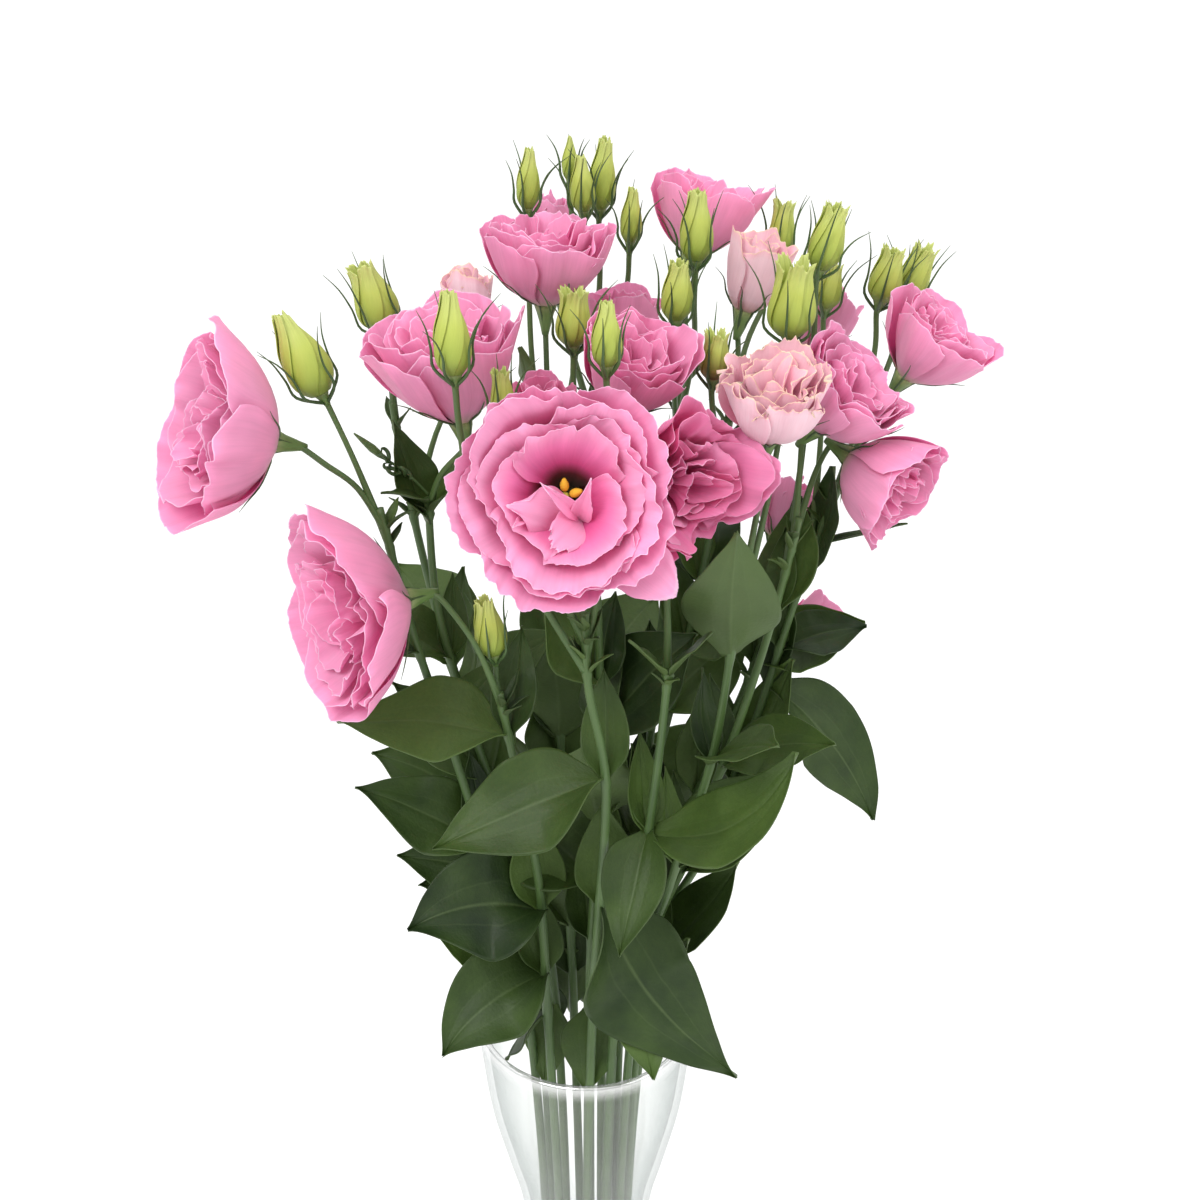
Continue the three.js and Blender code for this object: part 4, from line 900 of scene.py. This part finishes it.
# ---------- materials ----------
class Recipe:
    """Nodes of a new material, from its Principled shader outwards, or of a new world."""

    def __init__(self, name, kind="materials"):
        self.owner = getattr(bpy.data, kind).new(name)
        self.owner.use_nodes = True
        self.tree = self.owner.node_tree
        self.shader = self.tree.nodes.get("Principled BSDF")

    def node(self, kind, inputs=None, **settings):
        made = self.tree.nodes.new("ShaderNode" + kind)
        for key, value in settings.items():
            setattr(made, key, value)
        for key, value in (inputs or {}).items():
            self.put(made.inputs[key], value)
        return made

    def put(self, socket, value):
        """Joins a socket to another, or sets it to a number or to a (red, green, blue) tuple."""
        if isinstance(value, bpy.types.NodeSocket):
            self.tree.links.new(value, socket)
        else:
            socket.default_value = (*value, 1) if isinstance(value, tuple) else value

    def look(self):
        """(along, across, tone, side) of the surface."""
        vector = self.node("Attribute", attribute_name="look").outputs["Vector"]
        parts = self.node("SeparateXYZ", {"Vector": vector}).outputs
        side = self.node("Attribute", attribute_name="side").outputs["Fac"]
        return parts["X"], parts["Y"], parts["Z"], side

    def math(self, operation, *values, clamp=False):
        made = self.node("Math", operation=operation, use_clamp=clamp)
        for socket, value in zip(made.inputs, values):
            self.put(socket, value)
        return made.outputs[0]

    def plus(self, a, b):
        return self.math("ADD", a, b)

    def minus(self, a, b, clamp=False):
        return self.math("SUBTRACT", a, b, clamp=clamp)

    def times(self, a, b, clamp=False):
        return self.math("MULTIPLY", a, b, clamp=clamp)

    def near(self, distance, reach):
        """1 at no distance, falling to 0 where the distance is the reach."""
        return self.minus(1.0, self.math("DIVIDE", distance, reach), clamp=True)

    def ramp(self, factor, stops):
        made = self.node("ValToRGB", {"Fac": factor})
        band = made.color_ramp
        while len(band.elements) < len(stops):
            band.elements.new(0.5)
        for element, (place, colour) in zip(band.elements, stops):
            element.position = place
            element.color = (*colour, 1)
        return made.outputs["Color"]

    def mix(self, factor, a, b, blend="MIX"):
        made = self.node("Mix", data_type="RGBA", blend_type=blend)
        for key, value in (("Factor", factor), ("A", a), ("B", b)):
            self.put(made.inputs[key], value)
        return made.outputs["Result"]

    def noise(self, scale, detail, *at):
        """Noise over the object, or over the three numbers that it is taken at."""
        if at:
            vector = self.node("CombineXYZ", dict(zip("XYZ", at))).outputs["Vector"]
        else:
            vector = self.node("TexCoord").outputs["Object"]
        made = self.node("TexNoise", {"Vector": vector, "Scale": scale, "Detail": detail})
        return made.outputs["Fac"]

    def surface(self, colour, **constants):
        """Base colour, and constants for other sockets of the shader, with _ for a space."""
        self.put(self.shader.inputs["Base Color"], colour)
        for key, value in constants.items():
            self.shader.inputs[key.replace("_", " ")].default_value = value

    def bump(self, height, strength, distance):
        made = self.node("Bump", {"Height": height, "Strength": strength, "Distance": distance})
        self.put(self.shader.inputs["Normal"], made.outputs["Normal"])

    def blend(self, share, first, second):
        """Puts a mix of two shaders on the surface."""
        both = self.node("MixShader", {"Fac": share})
        self.put(both.inputs[1], first.outputs["BSDF"])
        self.put(both.inputs[2], second.outputs["BSDF"])
        self.put(self.tree.nodes["Material Output"].inputs["Surface"], both.outputs["Shader"])

    def glow(self, colour, share):
        """Lets part of the light through the blade."""
        self.blend(share, self.shader, self.node("BsdfTranslucent", {"Color": colour}))


def petal_material(name, throat, body, lip, edge, edge_start, back, deep_pink_and_shade):
    """Petal colours from root to lip, with fine veins that run out to the lip."""
    r = Recipe(name)
    u, v, tone, side = r.look()
    # the dark throat and the deep pink near the root are partly the petal's own colour and partly
    # painted shade of the flower's hollow
    face = r.ramp(u, [(0.0, throat[0]), (0.16, throat[1]), (0.3, deep_pink_and_shade), (0.5, body), (0.85, lip),
                      (edge_start, lip), (0.994, edge)])
    # towards the lip both ramps turn lighter and end in a thin light line at the edge: partly the
    # petal's own paler lip, partly a painted highlight
    outside = r.ramp(u, [(0.0, (0.50, 0.56, 0.26)), (0.12, (0.78, 0.55, 0.50)), (0.3, back),
                         (0.85, back), (edge_start - 0.007, lip), (0.994, edge)])
    colour = r.mix(side, face, outside)
    colour = r.mix(r.times(r.minus(tone, 0.5, clamp=True), 1.3, clamp=True), colour, deep_pink_and_shade)
    lines = r.noise(1.6, 3.0, r.times(v, 14.0), r.times(u, 1.5), r.times(tone, 40.0))
    patches = r.noise(60.0, 2.0)
    shade = r.plus(r.times(lines, 0.20), r.times(patches, 0.34))
    levels = {"Red": r.plus(shade, 0.74), "Green": r.plus(shade, 0.60), "Blue": r.plus(shade, 0.68)}
    colour = r.mix(0.85, colour, r.node("CombineColor", levels).outputs["Color"], "MULTIPLY")
    r.surface(colour, Roughness=0.55, Specular_IOR_Level=0.25, Sheen_Weight=0.15)
    r.bump(r.plus(lines, r.times(r.noise(900.0, 2.0), 0.3)), 0.2, 0.0005)
    r.glow(colour, 0.38)
    return r.owner


def leaf_material(dark, light, vein, glow):
    """Leaf greens: lighter midrib and long veins, mottled, with a paler back."""
    r = Recipe("leaf_green")
    u, v, tone, side = r.look()
    mottle = r.plus(r.times(r.noise(55.0, 3.0), 0.55), r.times(tone, 0.7))
    colour = r.ramp(mottle, [(0.29, dark), (0.95, light)])
    wander = r.noise(1.0, 2.0, r.times(u, 5.0), r.times(tone, 30.0), 0.0)
    across = r.math("ABSOLUTE", v)
    wide = r.plus(across, r.times(r.minus(wander, 0.5), 0.16))
    midrib = r.near(across, 0.045)
    second = r.near(r.math("ABSOLUTE", r.minus(wide, 0.36)), 0.028)
    net = r.noise(2.0, 4.0, r.times(v, 6.0), r.times(u, 20.0), tone)
    colour = r.mix(r.plus(r.times(midrib, 0.4), r.times(second, 0.12)), colour, vein)
    colour = r.mix(r.times(net, 0.35), colour, dark)
    colour = r.mix(r.times(side, 0.4), colour, vein)
    r.surface(colour, Roughness=0.5, Specular_IOR_Level=0.32)
    r.bump(r.plus(net, r.noise(700.0, 2.0)), 0.25, 0.0005)
    r.glow(r.mix(0.5, colour, glow), 0.1)
    return r.owner


def stem_material():
    """Stalk greens: the darkest tone is for the sepals, and the tone CALYX for the calyx."""
    r = Recipe("stem_green")
    u, v, tone = r.look()[:3]
    streaks = r.noise(1.5, 3.0, r.times(v, 9.0), r.times(u, 5.0), tone)
    patches = r.noise(45.0, 2.0)
    mottle = r.plus(r.times(streaks, 0.5), r.times(patches, 0.5))
    colour = r.ramp(mottle, [(0.3, (0.022, 0.055, 0.014)), (0.7, (0.075, 0.135, 0.036))])
    colour = r.mix(r.times(tone, 0.45, clamp=True), colour, (0.13, 0.22, 0.06))
    cup = r.ramp(u, [(0.0, (0.08, 0.16, 0.04)), (0.45, (0.14, 0.25, 0.06)),
                     (0.75, (0.42, 0.45, 0.20))])
    cup = r.mix(streaks, cup, (0.10, 0.17, 0.04))
    r.surface(r.mix(r.minus(tone, 1.0, clamp=True), colour, cup), Roughness=0.5)
    r.bump(streaks, 0.3, 0.0004)
    return r.owner


def bud_material():
    """Yellow-green buds, greener at the root; the tone BROWN is for a bud with a brown root."""
    r = Recipe("bud_green")
    u, v, tone = r.look()[:3]
    colour = r.ramp(u, [(0.0, (0.16, 0.24, 0.04)), (0.3, (0.38, 0.47, 0.07)),
                        (0.65, (0.60, 0.66, 0.13)), (1.0, (0.72, 0.76, 0.27))])
    lines = r.noise(2.0, 3.0, r.times(v, 7.0), r.times(u, 3.0), tone)
    patches = r.noise(120.0, 2.0)
    dark = r.plus(r.times(lines, 0.5), r.times(patches, 0.5))
    colour = r.mix(r.times(r.minus(1.0, dark, clamp=True), 0.55), colour, (0.26, 0.36, 0.05))
    low = r.minus(1.0, r.times(u, 1.4), clamp=True)
    colour = r.mix(r.times(r.minus(tone, 1.0, clamp=True), low), colour, (0.20, 0.12, 0.04))
    r.surface(colour, Roughness=0.5)
    r.bump(lines, 0.25, 0.0004)
    r.glow(colour, 0.18)
    return r.owner


def pollen_material():
    r = Recipe("pollen")
    grains = r.noise(1600.0, 2.0)
    colour = r.ramp(r.look()[2], [(0.2, (0.30, 0.38, 0.06)), (0.8, (0.84, 0.47, 0.02))])
    r.surface(r.mix(r.times(grains, 0.5), colour, (0.9, 0.62, 0.08)), Roughness=0.8)
    r.bump(grains, 0.6, 0.0004)
    return r.owner


def clear_material(name, middle, rim, shine):
    """Clear and thin: straight through, with a tint and a shine that grow towards its outline.

    The shine is strongest where the tone is above a half, which is the rounded rim.
    """
    r = Recipe(name)
    tone = r.look()[2]
    ripple = {"Height": r.noise(9.0, 1.0), "Strength": 0.1, "Distance": 0.002}
    normal = r.node("Bump", ripple).outputs["Normal"]
    facing = r.node("LayerWeight", {"Blend": 0.3}).outputs["Facing"]
    pass_on = r.node("BsdfTransparent", {"Color": r.ramp(facing, [(0.2, middle), (1.0, rim)])})
    gloss = r.node("BsdfGlossy", {"Roughness": 0.04, "Normal": normal})
    least = r.plus(0.025, r.minus(tone, 0.5, clamp=True))
    share = r.math("MULTIPLY_ADD", r.math("POWER", facing, 2.0), shine, least)
    r.blend(share, pass_on, gloss)
    return r.owner


PINK = petal_material(
    "petal_pink", throat=((0.09, 0.09, 0.02), (0.19, 0.02, 0.035)), body=(0.94, 0.30, 0.58),
    lip=(0.96, 0.53, 0.74), edge=(0.97, 0.76, 0.89), edge_start=0.982, back=(0.92, 0.49, 0.69),
    deep_pink_and_shade=(0.80, 0.13, 0.38))
CREAM = petal_material(
    "petal_cream", throat=((0.30, 0.30, 0.10), (0.60, 0.20, 0.20)), body=(0.98, 0.56, 0.67),
    lip=(0.98, 0.78, 0.80), edge=(0.97, 0.91, 0.66), edge_start=0.966, back=(0.98, 0.90, 0.90),
    deep_pink_and_shade=(0.97, 0.44, 0.57))
LEAF = leaf_material(dark=(0.006, 0.020, 0.003), light=(0.082, 0.144, 0.026),
                     vein=(0.13, 0.19, 0.07), glow=(0.12, 0.24, 0.02))
STEM = stem_material()
BUD = bud_material()

for flower in BLOOMS:
    if "pale" in flower:
        bloom(flower, CREAM)
    else:
        bloom(flower, PINK)
pistil(pollen_material())
for one in BUDS:
    bud(one, BUD)
for one in SPRAYS:
    spray(one, STEM, LEAF)

# ---------- vase and water ----------
VASE_SIDES = 96
RIM = [(45.1, 249.5), (44.5, 250), (43.2, 250), (42.6, 249.5)]
CORNER = 0.6  # rounding where the wall meets the floor, and the water its surface
radius_table = through([(r, z) for z, r in VASE_OUTLINE], np.linspace(0, 1, 400))


def outside_radius(height):
    """Smooth radius of the vase outside, read along its outline."""
    return np.interp(height, radius_table[:, 1], radius_table[:, 0])


glass = Shape()
foot = [(2, 0), (20, 0), (38.4, 0)]
wall = [(outside_radius(z), z) for z in np.linspace(1.2, 248.6, 40)]
lining = [(r - VASE_WALL, z) for r, z in wall[::-1] if z > VASE_FLOOR + 3]
bowl = [(outside_radius(VASE_FLOOR + 1) - VASE_WALL - CORNER, VASE_FLOOR + 1),
        (outside_radius(VASE_FLOOR) - VASE_WALL - 2, VASE_FLOOR), (18, VASE_FLOOR), (2, VASE_FLOOR)]
turned(glass, np.asarray, foot + wall + RIM + lining + bowl, VASE_SIDES, 0.5)
# the rim and the rings next to it shine most
first_rim = len(foot) + len(wall) - 1
glass.look[-1][first_rim * VASE_SIDES:(first_rim + len(RIM) + 2) * VASE_SIDES, 2] = 1.0
clear_glass = clear_material("clear_glass", (0.985, 0.99, 0.985), (0.66, 0.70, 0.69), 0.8)
glass.build("vase_glass", clear_glass, ["vase"])

fill = Shape()
low = VASE_FLOOR + GAP
side_wall = [(outside_radius(z) - VASE_WALL - GAP, z)
             for z in np.linspace(low + 1.5, WATER_LEVEL - CORNER, 24)]
top = outside_radius(WATER_LEVEL) - VASE_WALL - GAP - CORNER
bottom = [(2, low), (20, low), (side_wall[0][0] - 1.5, low)]
surface = [(top, WATER_LEVEL), (14, WATER_LEVEL), (2, WATER_LEVEL)]
turned(fill, np.asarray, bottom + side_wall + surface, VASE_SIDES, 0.5)
clear_water = clear_material("clear_water", (0.90, 0.95, 0.92), (0.78, 0.86, 0.82), 0.3)
fill.build("water_fill", clear_water, ["water"])

# ---------- floor and light ----------
bpy.ops.mesh.primitive_plane_add(size=24, location=(0, 4, -0.0004))
floor = bpy.context.object
floor.name = "studio_floor"
plain = Recipe("studio_white")
white = plain.ramp(plain.noise(0.4, 3.0),
                   [(0.0, (0.90, 0.90, 0.90)), (1.0, (0.93, 0.93, 0.93))])
plain.surface(white, Roughness=0.9)
floor.data.materials.append(plain.owner)

# white light from all round, stronger from above and weaker from below
LEVEL_LIGHT = 0.46
LIGHT_FROM_ABOVE = 1.1
sky = Recipe("studio", "worlds")
way = sky.node("TexCoord").outputs["Generated"]
height = sky.node("SeparateXYZ", {"Vector": way}).outputs["Z"]
background = sky.tree.nodes["Background"].inputs
sky.put(background["Color"], (1, 1, 1))
sky.put(background["Strength"], sky.math("MULTIPLY_ADD", height, LIGHT_FROM_ABOVE, LEVEL_LIGHT))
bpy.context.scene.world = sky.owner


def soft_light(name, place, target, size, power):
    lamp = bpy.data.lights.new(name, "AREA")
    lamp.energy = power
    lamp.size = size
    made = bpy.data.objects.new(name, lamp)
    made.location = place
    made.rotation_euler = (Vector(target) - Vector(place)).to_track_quat("-Z", "Y").to_euler()
    bpy.context.scene.collection.objects.link(made)


soft_light("key_light", (-0.7, -1.1, 1.7), (0, 0, 0.45), 0.9, 16)
soft_light("fill_light", (1.2, -0.7, 1.1), (0, 0, 0.4), 1.0, 5)
bpy.context.scene.view_settings.view_transform = "Standard"
